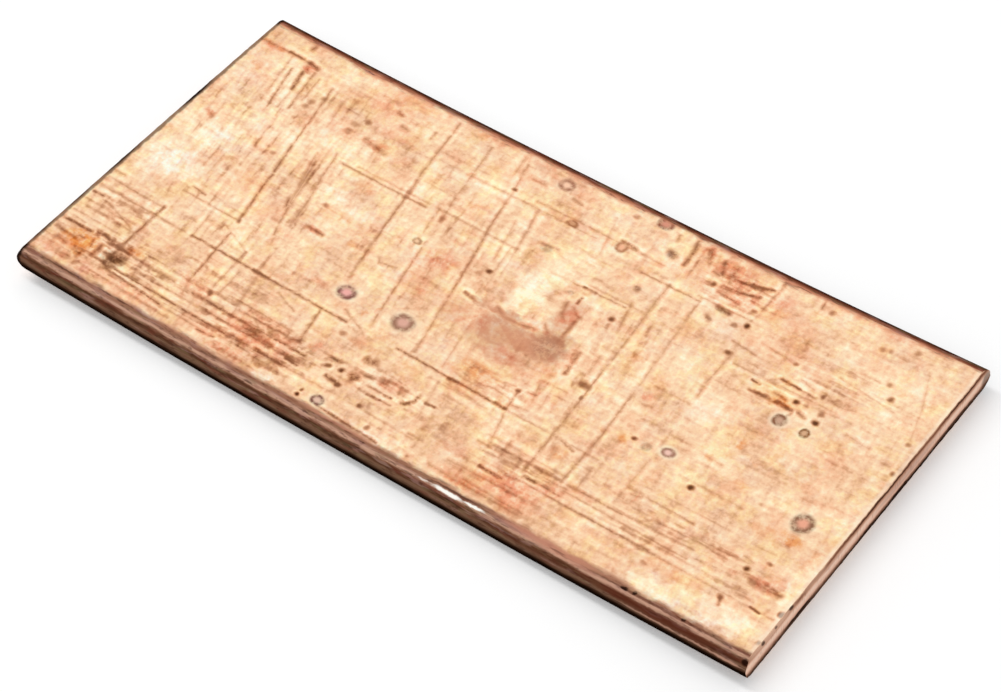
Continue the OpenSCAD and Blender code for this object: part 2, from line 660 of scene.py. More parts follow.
# %% Worn copper groups
OXIDE_COLOURS = [
    (0.00, (255, 249, 218)),
    (0.18, (255, 232, 194)),
    (0.33, (252, 215, 176)),
    (0.48, (244, 197, 158)),
    (0.64, (225, 173, 134)),
    (0.82, (202, 148, 110)),
    (1.00, (167, 114, 81)),
    (1.20, (123, 77, 51)),
    (1.40, (73, 43, 26)),
]
MOST_OXIDE = OXIDE_COLOURS[-1][0]
OXIDE_HUES = [(1.00, 0.84, 0.80), (1.00, 1.03, 0.80), (0.96, 1.01, 1.12)]  # pinker, yellower and greyer
HUE_SHARES = [0.60, 0.60, 0.55]
HUE_SCALE, HUE_FROM, HUE_TO = 0.24, 0.46, 0.66
# Scales of noises, sizes of lines in millimetres, and how much oxide each adds
CLOUD_SCALE, CLOUD_SHARE = 0.15, 0.80
GRAIN_SCALE, GRAIN_SHARE = 1.1, 0.62
STREAK_LENGTH, STREAK_PITCH, STREAK_SHARE, STREAK_LINES = 7.0, 0.95, 0.55, 0.22
THIN_STRETCH, THIN_SHARE = (0.16, 2.0, 1.0), 0.50
RUB_LENGTH, RUB_PITCH, RUB_COVER, RUB_SHARE, RUB_LINES = 7.0, 0.90, 0.35, 0.65, 0.20
RUB_TURN = math.radians(81)  # people wipe a sheet across its grain, a little askew


def colour_bands(tree, value, start, stop, bands):
    """A colour ramp whose stops are given as (place, screen colour)."""
    share = add(tree, "MapRange", value, start, stop, clamp=False).outputs[0]
    ramp = add(tree, "ValToRGB", share)
    stops = ramp.color_ramp.elements
    while len(stops) < len(bands):
        stops.new(0.5)
    for band, (place, colour) in zip(stops, bands):
        band.position = (place - start) / (stop - start)
        band.color = rgb(*colour)
    return ramp.outputs["Color"]


def oxide_colour_group():
    tree, given, result = new_group(
        "Oxide colour", [("Place", "place", (0, 0, 0)), ("Amount", "value", 0.33)], [("Color", "colour")]
    )
    colour = colour_bands(tree, given["Amount"], 0.0, MOST_OXIDE, OXIDE_COLOURS)
    hues = clouds(tree, given["Place"], HUE_SCALE, detail=4.0, roughness=0.8)[1]
    for channel, tone, most in zip(add(tree, "SeparateXYZ", hues).outputs, OXIDE_HUES, HUE_SHARES):
        share = calc(tree, "MULTIPLY", ease(tree, channel, HUE_FROM, HUE_TO), most)
        colour = blend(tree, share, colour, vector(tree, "MULTIPLY", colour, tone))
    join(tree, colour, result["Color"])
    return tree


def worn_copper_group():
    tree, given, result = new_group(
        "Worn copper",
        [
            ("Place", "place", (0, 0, 0)),
            ("Plain", "value", 0.33),
            ("Streaked", "value", 0.3),
            ("Rubbed", "value", 0.5),
        ],
        [("Amount", "value"), ("Relief", "value")],
    )
    place = given["Place"]
    amount = calc(tree, "ADD", given["Plain"], -NOISE_MIDDLE * (CLOUD_SHARE + GRAIN_SHARE))
    cloud = clouds(tree, place, CLOUD_SCALE, detail=4.0, roughness=0.6)[0]
    amount = calc(tree, "MULTIPLY_ADD", cloud, CLOUD_SHARE, amount)
    grain = clouds(tree, place, GRAIN_SCALE, detail=3.0, roughness=0.6)[0]
    amount = calc(tree, "MULTIPLY_ADD", grain, GRAIN_SHARE, amount)
    size = {"Length": STREAK_LENGTH, "Pitch": STREAK_PITCH}
    streak = use(tree, DRAWN_LINES, Place=place, **size, Cover=given["Streaked"])
    streaking = calc(tree, "MULTIPLY_ADD", streak["Grain"], STREAK_SHARE, -NOISE_MIDDLE * STREAK_SHARE)
    streaking = calc(tree, "MULTIPLY_ADD", streak["Lines"], STREAK_LINES, streaking)
    thin = swings(tree, vector(tree, "MULTIPLY", place, THIN_STRETCH), scale=1.0, detail=1.0)
    streaking = calc(tree, "MULTIPLY_ADD", thin, THIN_SHARE, streaking)
    amount = calc(tree, "MULTIPLY_ADD", streaking, given["Streaked"], amount)
    size = {"Length": RUB_LENGTH, "Pitch": RUB_PITCH}
    rub = use(tree, DRAWN_LINES, Place=place, Turn=RUB_TURN, **size, Cover=RUB_COVER)
    rubbing = calc(tree, "MULTIPLY_ADD", rub["Grain"], RUB_SHARE, -NOISE_MIDDLE * RUB_SHARE)
    rubbing = calc(tree, "MULTIPLY_ADD", rub["Lines"], RUB_LINES, rubbing)
    join(tree, calc(tree, "MULTIPLY_ADD", rubbing, given["Rubbed"], amount), result["Amount"])
    join(tree, calc(tree, "ADD", streak["Grain"], grain), result["Relief"])
    return tree


OXIDE_COLOUR, WORN_COPPER = oxide_colour_group(), worn_copper_group()
print("groups:", OXIDE_COLOUR.name, "with", len(OXIDE_COLOURS), "stops,", WORN_COPPER.name)

# %% [markdown]
# ### Patch and scratch
# Two groups measure how near a point is to one mark. Patch gives a soft spot of any length and width, and
# Scratch gives the distance from a straight stroke, in half widths of it. Marks are then a matter of lists,
# and a loop places one group for each mark of a list. The nodes of one mark are made right after those of
# the mark before, so the render never has to hold more than a few values at a time.

# %% Patch and scratch groups
PATCH_EDGE = 1.1  # reaches from its centre, where a patch has faded out
PATCH_CORE = 0.45  # reaches from its centre, up to where a patch has its full strength


def patch_group():
    tree, given, result = new_group(
        "Patch",
        [
            ("Place", "place", (0, 0, 0)),
            ("Centre", "place", (0, 0, 0)),
            ("Reach", "place", (1, 1, 1)),
            ("Core", "value", PATCH_CORE),
        ],
        [("Nearness", "value"), ("Distance", "value")],
    )
    offset = vector(tree, "SUBTRACT", given["Place"], given["Centre"])
    distance = vector(tree, "LENGTH", vector(tree, "DIVIDE", offset, given["Reach"]))
    join(tree, ease(tree, distance, PATCH_EDGE, given["Core"]), result["Nearness"])
    join(tree, distance, result["Distance"])
    return tree


def scratch_group():
    tree, given, result = new_group(
        "Scratch",
        [
            ("Place", "place", (0, 0, 0)),
            ("Start", "place", (0, 0, 0)),
            ("Run", "place", (1, 0, 0)),
            ("Half width", "value", 0.15),
            ("Fade", "value", 0.0),
        ],
        [("Distance", "value")],
    )
    offset = vector(tree, "SUBTRACT", given["Place"], given["Start"])
    squared = vector(tree, "DOT_PRODUCT", given["Run"], given["Run"])
    share = calc(tree, "DIVIDE", vector(tree, "DOT_PRODUCT", offset, given["Run"]), squared)
    share = calc(tree, "MINIMUM", calc(tree, "MAXIMUM", share, 0.0), 1.0)
    aside = vector(tree, "SUBTRACT", offset, vector(tree, "SCALE", given["Run"], None, None, share))
    per_width = calc(tree, "DIVIDE", 1.0, given["Half width"])
    distance = calc(tree, "MULTIPLY_ADD", vector(tree, "LENGTH", aside), per_width, given["Fade"])
    join(tree, distance, result["Distance"])
    return tree


PATCH, SCRATCH = patch_group(), scratch_group()
print("groups:", PATCH.name, SCRATCH.name)

# %% From lists to masks
EVERYWHERE = (-LENGTH, LENGTH)  # mm along the sheet
PLAIN_COPPER = (243, 204, 166)  # the colour from which tints are reckoned
WANDER = 2.0  # mm, a little more than any wobble moves a mark
FAINTEST = 0.80  # half widths by which a stroke of no strength would be away
THINNING = 1.1  # share of its width that a stroke of no strength would lose, which is given back
THINNEST = 0.35  # least share of its width that counts as left


def touches(stretch, x_from, x_to):
    """Whether a mark between two places along the sheet can reach a stretch of it."""
    return x_to + WANDER > stretch[0] and x_from - WANDER < stretch[1]


def strongest(tree, mask, value, strength):
    """Adds one mark to a running mask."""
    value = calc(tree, "MULTIPLY", value, strength)
    return value if mask is None else calc(tree, "MAXIMUM", mask, value)


def patches(tree, place, marks, stretch=EVERYWHERE, core=PATCH_CORE):
    """The strongest patch at each point. A mark is x, y, reach in x, reach in y, strength."""
    mask = None
    for x, y, reach_x, reach_y, strength in marks:
        if touches(stretch, x - reach_x, x + reach_x):
            near = use(tree, PATCH, Place=place, Centre=(x, y, 0), Reach=(reach_x, reach_y, 1), Core=core)
            mask = strongest(tree, mask, near["Nearness"], strength)
    return mask


def strokes(tree, place, marks, stretch):
    """The distance to the nearest stroke, in half widths. A mark is a line's points, half width, strength."""
    nearest = None
    for corners, half_width, strength in marks:
        for start, stop in zip(corners, corners[1:]):
            if touches(stretch, min(start[0], stop[0]), max(start[0], stop[0])):
                width = half_width / max(THINNEST, 1 - THINNING * (1 - strength))
                line = use(
                    tree,
                    SCRATCH,
                    Place=place,
                    Start=(*start, 0),
                    Run=(stop[0] - start[0], stop[1] - start[1], 0),
                    Half_width=width,
                    Fade=FAINTEST * (1 - strength),
                )
                distance = line["Distance"]
                nearest = distance if nearest is None else calc(tree, "MINIMUM", nearest, distance)
    return nearest


def stain(tree, colour, mask, most, tone):
    """Lays a tone over a colour where there is a mask."""
    return blend(tree, calc(tree, "MULTIPLY", mask, most), colour, rgb(*tone))


def tint(tree, colour, mask, most, tone):
    """Shifts a colour where there is a mask, as far as plain copper would shift to reach the tone."""
    shift = [wanted / plain for wanted, plain in zip(rgb(*tone)[:3], rgb(*PLAIN_COPPER)[:3])]
    return blend(tree, calc(tree, "MULTIPLY", mask, most), colour, vector(tree, "MULTIPLY", colour, shift))


# %% [markdown]
# ### Rolled rim
# The rolled edges kept the brown scale of the mill, and it creeps onto the faces with a ragged border. Both
# broad faces touch that rim, so the group measures it once: how far past the upper face a point lies, round
# the edge. A colour ramp over that distance gives the bands: a mauve shoulder, a pale crest of painted
# highlight, a brown side and a nearly black lower corner, dark scale deepened into painted shade. On the far
# edge the scale is darker still, partly a painted dark reflection. The measure comes from the mesh, so the
# bands stay put in every view, their painted light and shade too. Nicks are patches along the rim, and so are
# the near edge's pale lines of painted highlight and its glint, a painted white highlight on a bare facet.

# %% Bands and marks of the rim
RIM_FROM, RIM_TO = -1.5, 6.5  # mm past the upper face, the ends of the ramps
# Near edge: the pale crest round 0.42 to 0.62 is painted highlight, and the black from 2.15 to 3.6 is dark
# scale with painted shade
NEAR_BANDS = [
    (-0.9, (218, 162, 132)),
    (-0.5, (188, 136, 108)),
    (-0.2, (160, 112, 88)),
    (0.0, (150, 104, 81)),
    (0.2, (166, 122, 100)),
    (0.42, (202, 158, 134)),
    (0.62, (190, 146, 122)),
    (0.8, (128, 86, 64)),
    (1.0, (84, 50, 33)),
    (1.2, (94, 60, 42)),
    (1.45, (124, 90, 69)),
    (1.7, (120, 88, 68)),
    (1.95, (88, 60, 44)),
    (2.15, (50, 29, 18)),
    (2.4, (20, 9, 5)),
    (3.6, (16, 7, 4)),
    (4.8, (112, 74, 54)),
    (5.6, (180, 124, 94)),
]
# Far edge: scale, darker from 0.2 onwards with a painted dark reflection
FAR_BANDS = [
    (-1.0, (244, 184, 146)),
    (-0.5, (230, 163, 127)),
    (-0.2, (212, 144, 112)),
    (0.0, (182, 116, 88)),
    (0.2, (134, 78, 55)),
    (0.4, (94, 50, 33)),
    (0.7, (62, 32, 21)),
    (1.6, (42, 21, 14)),
    (3.6, (40, 22, 14)),
    (4.8, (112, 74, 54)),
    (5.6, (180, 124, 94)),
]
# Marks on the near edge: along, past the face, reach along, reach round the edge, strength
RIM_MAUVE = [(-32.2, -0.5, 2.2, 0.45, 0.9), (20.5, 0.15, 3.5, 0.35, 0.6)]
RIM_PINK = [
    (25.5, -0.1, 8.5, 0.55, 1.0), (26.0, 0.35, 8.0, 0.3, 0.6), (-3.0, -0.35, 8.0, 0.25, 0.6),
    (-22.0, -0.5, 5.0, 0.3, 0.5),
]
RIM_MAROON = [
    (40.0, 1.15, 14.0, 0.55, 1.0), (40.0, 0.15, 11.0, 0.20, 0.7), (24.0, 1.3, 6.0, 0.4, 0.6),
    (-15.5, 1.8, 2.0, 0.4, 0.7),
]
# Pale lines of painted highlight along the near edge
RIM_PAINTED_HIGHLIGHTS = [(43.0, 1.72, 9.0, 0.16, 0.8), (48.5, 1.75, 2.4, 0.2, 1.0), (40.0, 0.52, 12.0, 0.20, 0.6)]
RIM_NICKS = [
    (34.9, 0.08, 0.55, 0.3, 1.0), (36.2, 0.0, 0.3, 0.34, 0.95), (42.4, 0.05, 0.35, 0.25, 0.9),
    (50.6, 0.95, 0.5, 0.45, 1.0), (13.0, -0.12, 4.0, 0.16, 0.6), (-37.0, -0.25, 3.0, 0.16, 0.6),
    (-44.5, -0.1, 4.0, 0.14, 0.6),
]
# The glint: a painted white highlight where a bare facet of the near edge catches the light
RIM_GLINT = [(11.7, 0.36, 2.5, 0.30, 1.0), (15.2, 0.30, 1.7, 0.23, 1.0), (8.4, 0.42, 0.9, 0.14, 0.5)]
# Marks, share and tone, in the order in which they are laid on
RIM_MARKS = [
    (RIM_MAUVE, 0.70, (164, 124, 120)),
    (RIM_PINK, 0.70, (206, 142, 116)),
    (RIM_MAROON, 0.75, (92, 42, 27)),
    (RIM_PAINTED_HIGHLIGHTS, 0.85, (200, 152, 130)),
    (RIM_NICKS, 0.95, (34, 14, 8)),
]
# The white of the glint's painted highlight
GLINT_TONE = (255, 252, 244)
print("rim:", len(NEAR_BANDS), "near and", len(FAR_BANDS), "far bands,", len(RIM_MARKS), "kinds of marks")

# %% Scale between the bands
# How each noise is drawn out along the rim
STREAK_STRETCH = (0.14, 1.0, 1.0)
SPECK_STRETCH = (0.3, 1.4, 1.0)
# Tints of the scale: noise from which they show, noise at which they are full, share, tone
SCALE_TINTS = [
    (0.52, 0.68, 0.45, (112, 50, 38)),
    (0.52, 0.68, 0.45, (124, 102, 72)),
    (0.54, 0.70, 0.40, (172, 130, 120)),
]
SPECK_FROM, SPECK_TO, SPECK_SHARE, SPECK_TONE = 0.55, 0.70, 0.55, (66, 36, 26)
TINTS_FADE, TINTS_END = 1.6, 2.1  # mm past the upper face


def scale_colour(tree, place, drawn_out, bands, past):
    """The bands with the scale's tints and specks, which stop above the black lower corner."""
    colour = bands
    tints = clouds(tree, drawn_out, scale=1.8, detail=3.0, roughness=0.6)[1]
    for channel, (start, stop, share, tone) in zip(add(tree, "SeparateXYZ", tints).outputs, SCALE_TINTS):
        colour = stain(tree, colour, ease(tree, channel, start, stop), share, tone)
    speckled = vector(tree, "MULTIPLY", place, SPECK_STRETCH)
    specks = clouds(tree, speckled, scale=1.9, detail=3.0, roughness=0.65)[0]
    colour = stain(tree, colour, ease(tree, specks, SPECK_FROM, SPECK_TO), SPECK_SHARE, SPECK_TONE)
    return blend(tree, ease(tree, past, TINTS_FADE, TINTS_END), colour, bands)


# %% Rolled rim group
FAR_SIDE = 40.0  # mm between the noises of the near and the far edge
BAND_SWAY = 0.55  # mm by which streaks move the bands
RAGGED_STRETCH = (0.5, 1.0, 1.0)
CREEP_STRETCH = (0.4, 1.0, 1.0)
# The black left tip: scale with painted shade along the burr's edge at the left end
LEFT_TIP_FROM, LEFT_TIP_TO, LEFT_TIP_SWAY = -50.3, -50.75, 0.5  # mm along, where the left tip is black
LEFT_TIP_SHARE, LEFT_TIP_TONE = 0.95, (24, 12, 8)
CREEP_FROM, CREEP_TO, CREEP_BELOW = -0.95, -0.2, 0.7  # mm by which the scale reaches onto the faces
FAR_CREEP = -0.15  # mm, less on the far side
CLEAN_FROM, CLEAN_TO, CLEAN_CREEP = 30.0, 37.0, -0.22  # mm, and less towards the right end


def rolled_rim_group():
    tree, given, result = new_group(
        "Rolled rim",
        [("Stock", "place", (0, 0, 0)), ("Across", "value", 0.0)],
        [("Color", "colour"), ("Mask", "value"), ("Glint", "value"), ("Place", "place")],
    )
    along, past, _ = add(tree, "SeparateXYZ", given["Stock"]).outputs
    far = calc(tree, "GREATER_THAN", given["Across"], 0.0)
    apart = calc(tree, "MULTIPLY_ADD", far, FAR_SIDE, past)
    place = add(tree, "CombineXYZ", along, apart, 0.0).outputs[0]
    drawn_out = vector(tree, "MULTIPLY", place, STREAK_STRETCH)
    streaky = swings(tree, drawn_out, scale=2.2, detail=4.0, roughness=0.65)
    ragged = vector(tree, "MULTIPLY", place, RAGGED_STRETCH)
    ragged = swings(tree, ragged, scale=1.5, detail=4.0, roughness=0.7)
    slow = swings(tree, place, scale=0.16)

    shifted = calc(tree, "MULTIPLY_ADD", streaky, BAND_SWAY, past)
    near_bands = colour_bands(tree, shifted, RIM_FROM, RIM_TO, NEAR_BANDS)
    far_bands = colour_bands(tree, shifted, RIM_FROM, RIM_TO, FAR_BANDS)
    bands = blend(tree, far, near_bands, far_bands)
    colour = scale_colour(tree, place, drawn_out, bands, past)
    shaky = use(tree, WOBBLE, Place=place, Reach=0.12, Lump=0.6)["Place"]
    for marks, share, tone in RIM_MARKS:
        colour = stain(tree, colour, patches(tree, shaky, marks), share, tone)
    # painted shade: the left tip of the rim turns black
    tip = ease(tree, calc(tree, "MULTIPLY_ADD", ragged, LEFT_TIP_SWAY, along), LEFT_TIP_FROM, LEFT_TIP_TO)
    colour = stain(tree, colour, tip, LEFT_TIP_SHARE, LEFT_TIP_TONE)
    # the glint is a painted highlight, and it also makes that facet metal
    glint = patches(tree, shaky, RIM_GLINT)
    join(tree, stain(tree, colour, glint, 1.0, GLINT_TONE), result["Color"])

    creeping = vector(tree, "MULTIPLY", place, CREEP_STRETCH)
    creep = swings(tree, creeping, scale=0.9, detail=3.0, roughness=0.6)
    border = calc(tree, "MULTIPLY_ADD", slow, 1.0, calc(tree, "MULTIPLY_ADD", far, FAR_CREEP, creep))
    border = calc(tree, "MULTIPLY_ADD", ease(tree, along, CLEAN_FROM, CLEAN_TO), CLEAN_CREEP, border)
    above = ease(tree, calc(tree, "ADD", past, border), CREEP_FROM, CREEP_TO)
    below = ease(tree, calc(tree, "ADD", past, border), ROUND_THE_EDGE + CREEP_BELOW, ROUND_THE_EDGE)
    join(tree, calc(tree, "MULTIPLY", above, below), result["Mask"])
    join(tree, glint, result["Glint"])
    join(tree, place, result["Place"])
    return tree


ROLLED_RIM = rolled_rim_group()
print("group:", ROLLED_RIM.name, "with", len(ROLLED_RIM.nodes), "nodes")

# %% [markdown]
# ## The upper face
# This is the face that the photograph shows. Its marks are listed below in millimetres from the middle of
# the sheet, x along and y across. They were read off the picture and rounded, like notes on a sketch,
# and some were added where a render still differed from the picture. Each list is one kind of mark, because
# marks of one kind share a colour and a depth.

# %% Clouded places: x, y, reach in x, reach in y, strength
# Pale places: cleaner copper, and at the left end, the middle and the near right corner painted highlight of
# the face's sheen
PALE_PLACES = [
    (2.0, 4.0, 2.8, 2.6, 1.0), (1.2, 6.6, 3.2, 1.6, 0.5), (-46.0, -2.5, 4.4, 3.2, 0.8),
    (-47.5, -5.0, 3.2, 2.0, 0.5), (-43.5, 4.0, 4.8, 3.2, 0.7), (-40.0, 9.2, 6.0, 3.0, 0.45),
    (-36.3, 10.8, 1.2, 2.4, 0.5), (-26.2, 4.3, 2.8, 1.9, 0.65), (-22.4, 3.6, 2.8, 2.0, 0.5),
    (44.6, -21.0, 8.0, 2.4, 1.0), (37.0, -22.0, 4.0, 1.4, 0.9), (26.2, -20.6, 3.6, 2.2, 0.55),
    (1.5, -22.0, 5.8, 1.2, 0.8), (-10.0, -20.6, 3.0, 2.4, 0.2), (49.8, -12.0, 1.3, 4.2, 0.6),
    (49.9, -16.5, 1.0, 3.0, 0.5), (29.0, 1.8, 4.0, 2.4, 0.4), (16.4, 5.0, 0.8, 5.0, 0.35),
    (11.0, -13.0, 4.0, 2.0, 0.35), (46.0, 21.6, 4.0, 1.2, 0.3), (-17.6, 19.4, 2.6, 2.4, 0.3),
    (-13.4, -3.4, 3.6, 2.6, 0.35), (16.7, 8.2, 2.6, 3.8, 0.40), (32.0, -16.0, 4.4, 2.0, 0.35),
    (-38.0, 5.4, 3.0, 2.2, 0.50), (49.6, 4.4, 1.2, 3.0, 0.40), (9.0, 13.3, 3.4, 2.0, 0.35),
    (38.0, -11.4, 3.2, 2.0, 0.45), (44.2, -17.6, 3.0, 1.2, 0.45), (-46.0, -10.0, 3.0, 1.6, 0.40),
    (-37.4, -17.0, 2.6, 1.2, 0.35), (-15.5, -22.5, 3.0, 0.9, 0.55), (-48.8, -22.4, 1.8, 0.9, 0.60),
    (43.0, 22.4, 4.0, 1.0, 0.35), (-49.4, 14.0, 1.6, 4.0, 0.40), (-49.0, 22.4, 1.6, 1.2, 0.35),
]
BROWN_PLACES = [
    (6.6, 8.6, 2.0, 0.8, 0.4), (-2.6, 0.2, 1.4, 0.6, 0.5), (9.4, 1.0, 1.0, 0.8, 0.4),
    (-40.7, -19.0, 1.5, 1.1, 1.0), (-43.4, -18.9, 0.7, 0.7, 0.8), (-41.3, -17.2, 1.0, 0.6, 0.6),
    (-45.3, -17.4, 1.2, 0.8, 0.5), (-20.8, -18.3, 3.0, 0.8, 0.6), (-19.0, -20.2, 2.5, 0.7, 0.5),
    (16.0, -18.0, 2.0, 1.2, 0.45), (21.0, -17.5, 1.5, 1.5, 0.4), (19.8, 19.9, 1.6, 1.0, 0.6),
    (23.0, 20.5, 2.2, 0.5, 0.6), (23.5, 18.8, 1.6, 0.4, 0.5), (-27.5, 13.5, 2.2, 0.45, 0.5),
    (-31.7, 13.9, 0.9, 0.5, 0.5), (-13.9, 4.0, 0.6, 0.4, 0.5), (11.9, -0.3, 0.5, 1.6, 0.5),
    (-42.3, 19.9, 1.0, 0.6, 0.8), (-24.6, -1.5, 1.4, 0.4, 0.6), (-9.6, 2.9, 1.8, 0.9, 0.3),
    (34.0, 7.2, 1.6, 0.7, 0.4), (-29.0, -17.0, 2.0, 1.0, 0.3), (-39.4, -10.0, 4.0, 2.0, 0.40),
    (-20.2, -8.8, 4.0, 2.0, 0.40), (-30.6, -16.1, 2.6, 1.2, 0.50), (-2.6, -6.4, 1.6, 2.6, 0.35),
    (6.5, -9.6, 5.0, 1.6, 0.45), (-9.0, -20.6, 2.4, 1.6, 0.35), (11.2, -9.8, 2.4, 1.6, 0.35),
    (-49.6, 1.4, 1.2, 2.0, 0.3),
]
STAIN_PLACES = [
    (2.0, -1.9, 3.4, 3.0, 1.0), (5.4, -1.5, 3.4, 2.2, 1.0), (8.2, -0.7, 3.0, 2.9, 1.0),
    (1.6, 0.5, 2.6, 1.0, 0.8), (7.5, 4.0, 1.8, 3.4, 0.50), (4.2, -4.4, 4.6, 1.6, 0.60),
    (0.4, -3.6, 2.0, 1.6, 0.5), (9.6, 1.4, 1.6, 1.0, 0.5), (-2.6, 0.6, 2.2, 0.6, 0.6),
    (-3.6, -2.2, 2.4, 2.2, 0.3),
]
SALMON_PLACES = [
    (16.0, -19.6, 6.8, 3.4, 1.0), (20.2, -17.4, 2.6, 2.0, 0.9), (12.0, -21.9, 5.4, 1.2, 1.0),
    (19.0, 21.4, 5.6, 2.4, 1.0), (22.0, 18.2, 4.4, 2.6, 0.9), (15.6, 22.3, 2.6, 1.3, 1.0),
    (26.6, 19.6, 1.9, 3.6, 0.8), (-22.0, -22.0, 3.0, 1.1, 1.0), (-25.0, -20.8, 4.0, 1.2, 0.6),
    (-30.0, -16.4, 4.0, 1.6, 0.6), (37.0, 23.2, 12.0, 0.7, 0.6), (-15.0, 22.9, 14.0, 0.7, 0.5),
    (13.0, 17.8, 4.0, 1.4, 0.5), (-13.4, -15.6, 1.2, 1.0, 0.8), (-16.6, -17.0, 3.0, 1.4, 0.7),
    (-30.0, 22.6, 8.0, 1.2, 0.5), (-36.0, -21.8, 7.0, 1.2, 0.6), (-47.0, -22.0, 4.0, 1.0, 0.6),
    (48.0, -14.4, 2.6, 1.4, 0.5), (11.4, -8.0, 2.4, 2.0, 0.4), (-48.6, 20.0, 3.0, 0.9, 0.8),
    (-47.6, -20.6, 2.6, 1.6, 0.5), (-40.0, -21.6, 3.0, 1.0, 0.5), (-36.8, 12.0, 1.6, 3.0, 0.4),
    (-31.0, -2.0, 2.4, 3.0, 0.35), (-19.6, -7.6, 2.6, 1.2, 0.6), (-20.0, -16.0, 4.0, 1.0, 0.6),
    (-4.0, 21.6, 5.0, 1.4, 0.4), (-2.0, 17.0, 8.0, 0.8, 0.4), (-25.4, 17.0, 3.0, 1.6, 0.5),
    (12.0, -20.6, 3.0, 1.0, 0.5), (-2.6, -2.4, 2.4, 2.4, 0.5), (-30.0, 20.0, 6.0, 3.2, 0.6),
    (-28.0, 16.8, 4.0, 2.0, 0.4), (-35.8, 0.3, 4.0, 2.6, 0.5), (-33.0, 13.0, 3.0, 3.0, 0.4),
    (-9.7, 3.0, 3.6, 2.1, 1.0), (-10.5, 6.6, 1.2, 0.6, 0.7), (-9.0, -2.2, 1.8, 1.2, 0.7),
    (-10.0, -0.3, 3.0, 2.5, 0.4), (20.5, 20.3, 5.5, 3.0, 0.9), (15.5, 22.0, 2.4, 1.8, 0.7),
    (25.8, 20.0, 2.2, 3.2, 0.6), (18.0, 17.5, 6.0, 2.0, 0.45), (-20.0, -18.8, 8.5, 3.0, 0.8),
    (-20.0, -22.0, 4.0, 1.2, 0.7), (17.6, -20.4, 5.2, 2.6, 0.9), (10.5, -21.6, 3.0, 1.4, 0.7),
    (-3.0, -15.5, 2.6, 1.2, 0.7), (-27.4, 13.6, 2.4, 0.8, 1.0), (5.0, -4.8, 4.2, 1.6, 0.6),
    (7.5, 4.6, 1.6, 3.2, 0.8), (-42.2, 19.6, 1.3, 1.0, 1.0), (46.8, -15.2, 2.8, 0.9, 0.8),
    (43.0, -15.6, 0.9, 0.9, 0.7), (45.7, -12.9, 3.0, 0.8, 0.4), (-47.5, 6.2, 1.6, 0.7, 0.7),
    (-43.0, -21.8, 2.6, 1.4, 0.5), (-47.5, 16.5, 3.0, 1.5, 0.35), (-25.2, -1.5, 2.2, 0.7, 0.8),
    (-6.8, 21.9, 2.0, 0.8, 0.5), (-15.2, 16.4, 0.9, 0.5, 0.9), (33.0, 13.0, 9.0, 3.5, 0.3),
    (29.0, 16.0, 5.0, 5.0, 0.3), (34.5, 2.0, 2.2, 2.0, 0.35), (40.0, 3.0, 6.0, 3.0, 0.25),
    (-12.0, 12.6, 5.0, 0.8, 0.4), (-23.5, 13.5, 2.5, 1.0, 0.5), (22.0, -0.5, 0.6, 1.1, 0.8),
    (13.8, -7.7, 0.8, 0.5, 0.6), (11.2, -6.9, 0.5, 1.2, 0.7), (29.0, -13.0, 0.5, 0.7, 0.6),
    (-10.8, -7.4, 0.4, 0.7, 0.9), (-16.9, -5.0, 0.35, 0.6, 0.7), (9.0, -18.8, 3.0, 1.0, 0.4),
    (-26.8, -4.0, 0.8, 1.2, 0.6), (10.8, -3.4, 2.2, 3.6, 0.60), (8.6, -5.8, 3.0, 1.6, 0.50),
    (-0.6, -1.8, 2.0, 2.4, 0.55), (-11.2, 2.6, 2.4, 1.8, 0.50), (6.0, -9.0, 5.0, 2.4, 0.40),
    (4.8, 1.0, 3.0, 1.0, 0.7), (-9.6, 19.4, 3.4, 2.6, 0.55), (11.6, -1.0, 1.8, 2.4, 0.7),
    (9.4, -10.4, 3.0, 1.4, 0.45), (1.2, -9.4, 2.4, 1.6, 0.45), (5.0, -11.2, 3.4, 1.2, 0.45),
    (23.6, -15.8, 2.0, 1.2, 0.5), (21.8, 15.8, 3.0, 1.0, 0.50), (-34.5, 22.7, 4.4, 1.0, 0.75),
    (4.0, 16.4, 4.0, 1.4, 0.50), (48.0, 17.6, 2.2, 3.0, 0.40), (-11.8, 1.4, 2.4, 2.0, 0.60),
]
ORANGE_PLACES = [
    (-46.0, -18.9, 3.6, 2.6, 1.0), (-45.0, -20.3, 1.4, 1.0, 0.8), (-39.6, -16.9, 1.6, 0.8, 0.9),
    (-49.6, 22.4, 1.0, 1.6, 0.3), (34.4, 7.5, 1.8, 1.1, 0.95), (33.5, 10.5, 2.0, 0.9, 0.5),
    (32.0, 8.3, 2.6, 1.2, 0.4), (34.3, -0.3, 0.6, 1.1, 0.8), (33.6, -2.5, 0.9, 1.0, 0.4),
    (4.0, -7.8, 3.4, 1.9, 0.65), (45.8, -8.5, 2.2, 1.2, 0.80), (43.0, -9.0, 4.0, 1.4, 0.3),
    (49.4, -8.0, 1.4, 3.0, 0.3), (32.3, -2.8, 3.2, 2.0, 0.25), (37.5, -5.0, 1.6, 0.8, 0.4),
    (-24.0, 7.3, 2.6, 1.2, 0.35), (-23.0, 2.0, 5.0, 1.5, 0.2), (18.4, -12.5, 1.2, 1.6, 0.55),
    (23.0, -7.0, 0.7, 0.9, 0.7), (-20.0, -0.8, 0.9, 0.9, 0.6), (-12.0, -8.6, 0.6, 0.9, 0.5),
    (17.0, 3.0, 1.2, 2.0, 0.3), (37.5, -19.0, 4.0, 1.2, 0.35), (-24.6, 20.3, 1.0, 0.6, 0.4),
    (-9.0, -12.4, 4.0, 0.8, 0.35), (2.8, -10.8, 2.6, 0.35, 0.4), (-48.6, 20.2, 2.4, 0.7, 0.6),
]
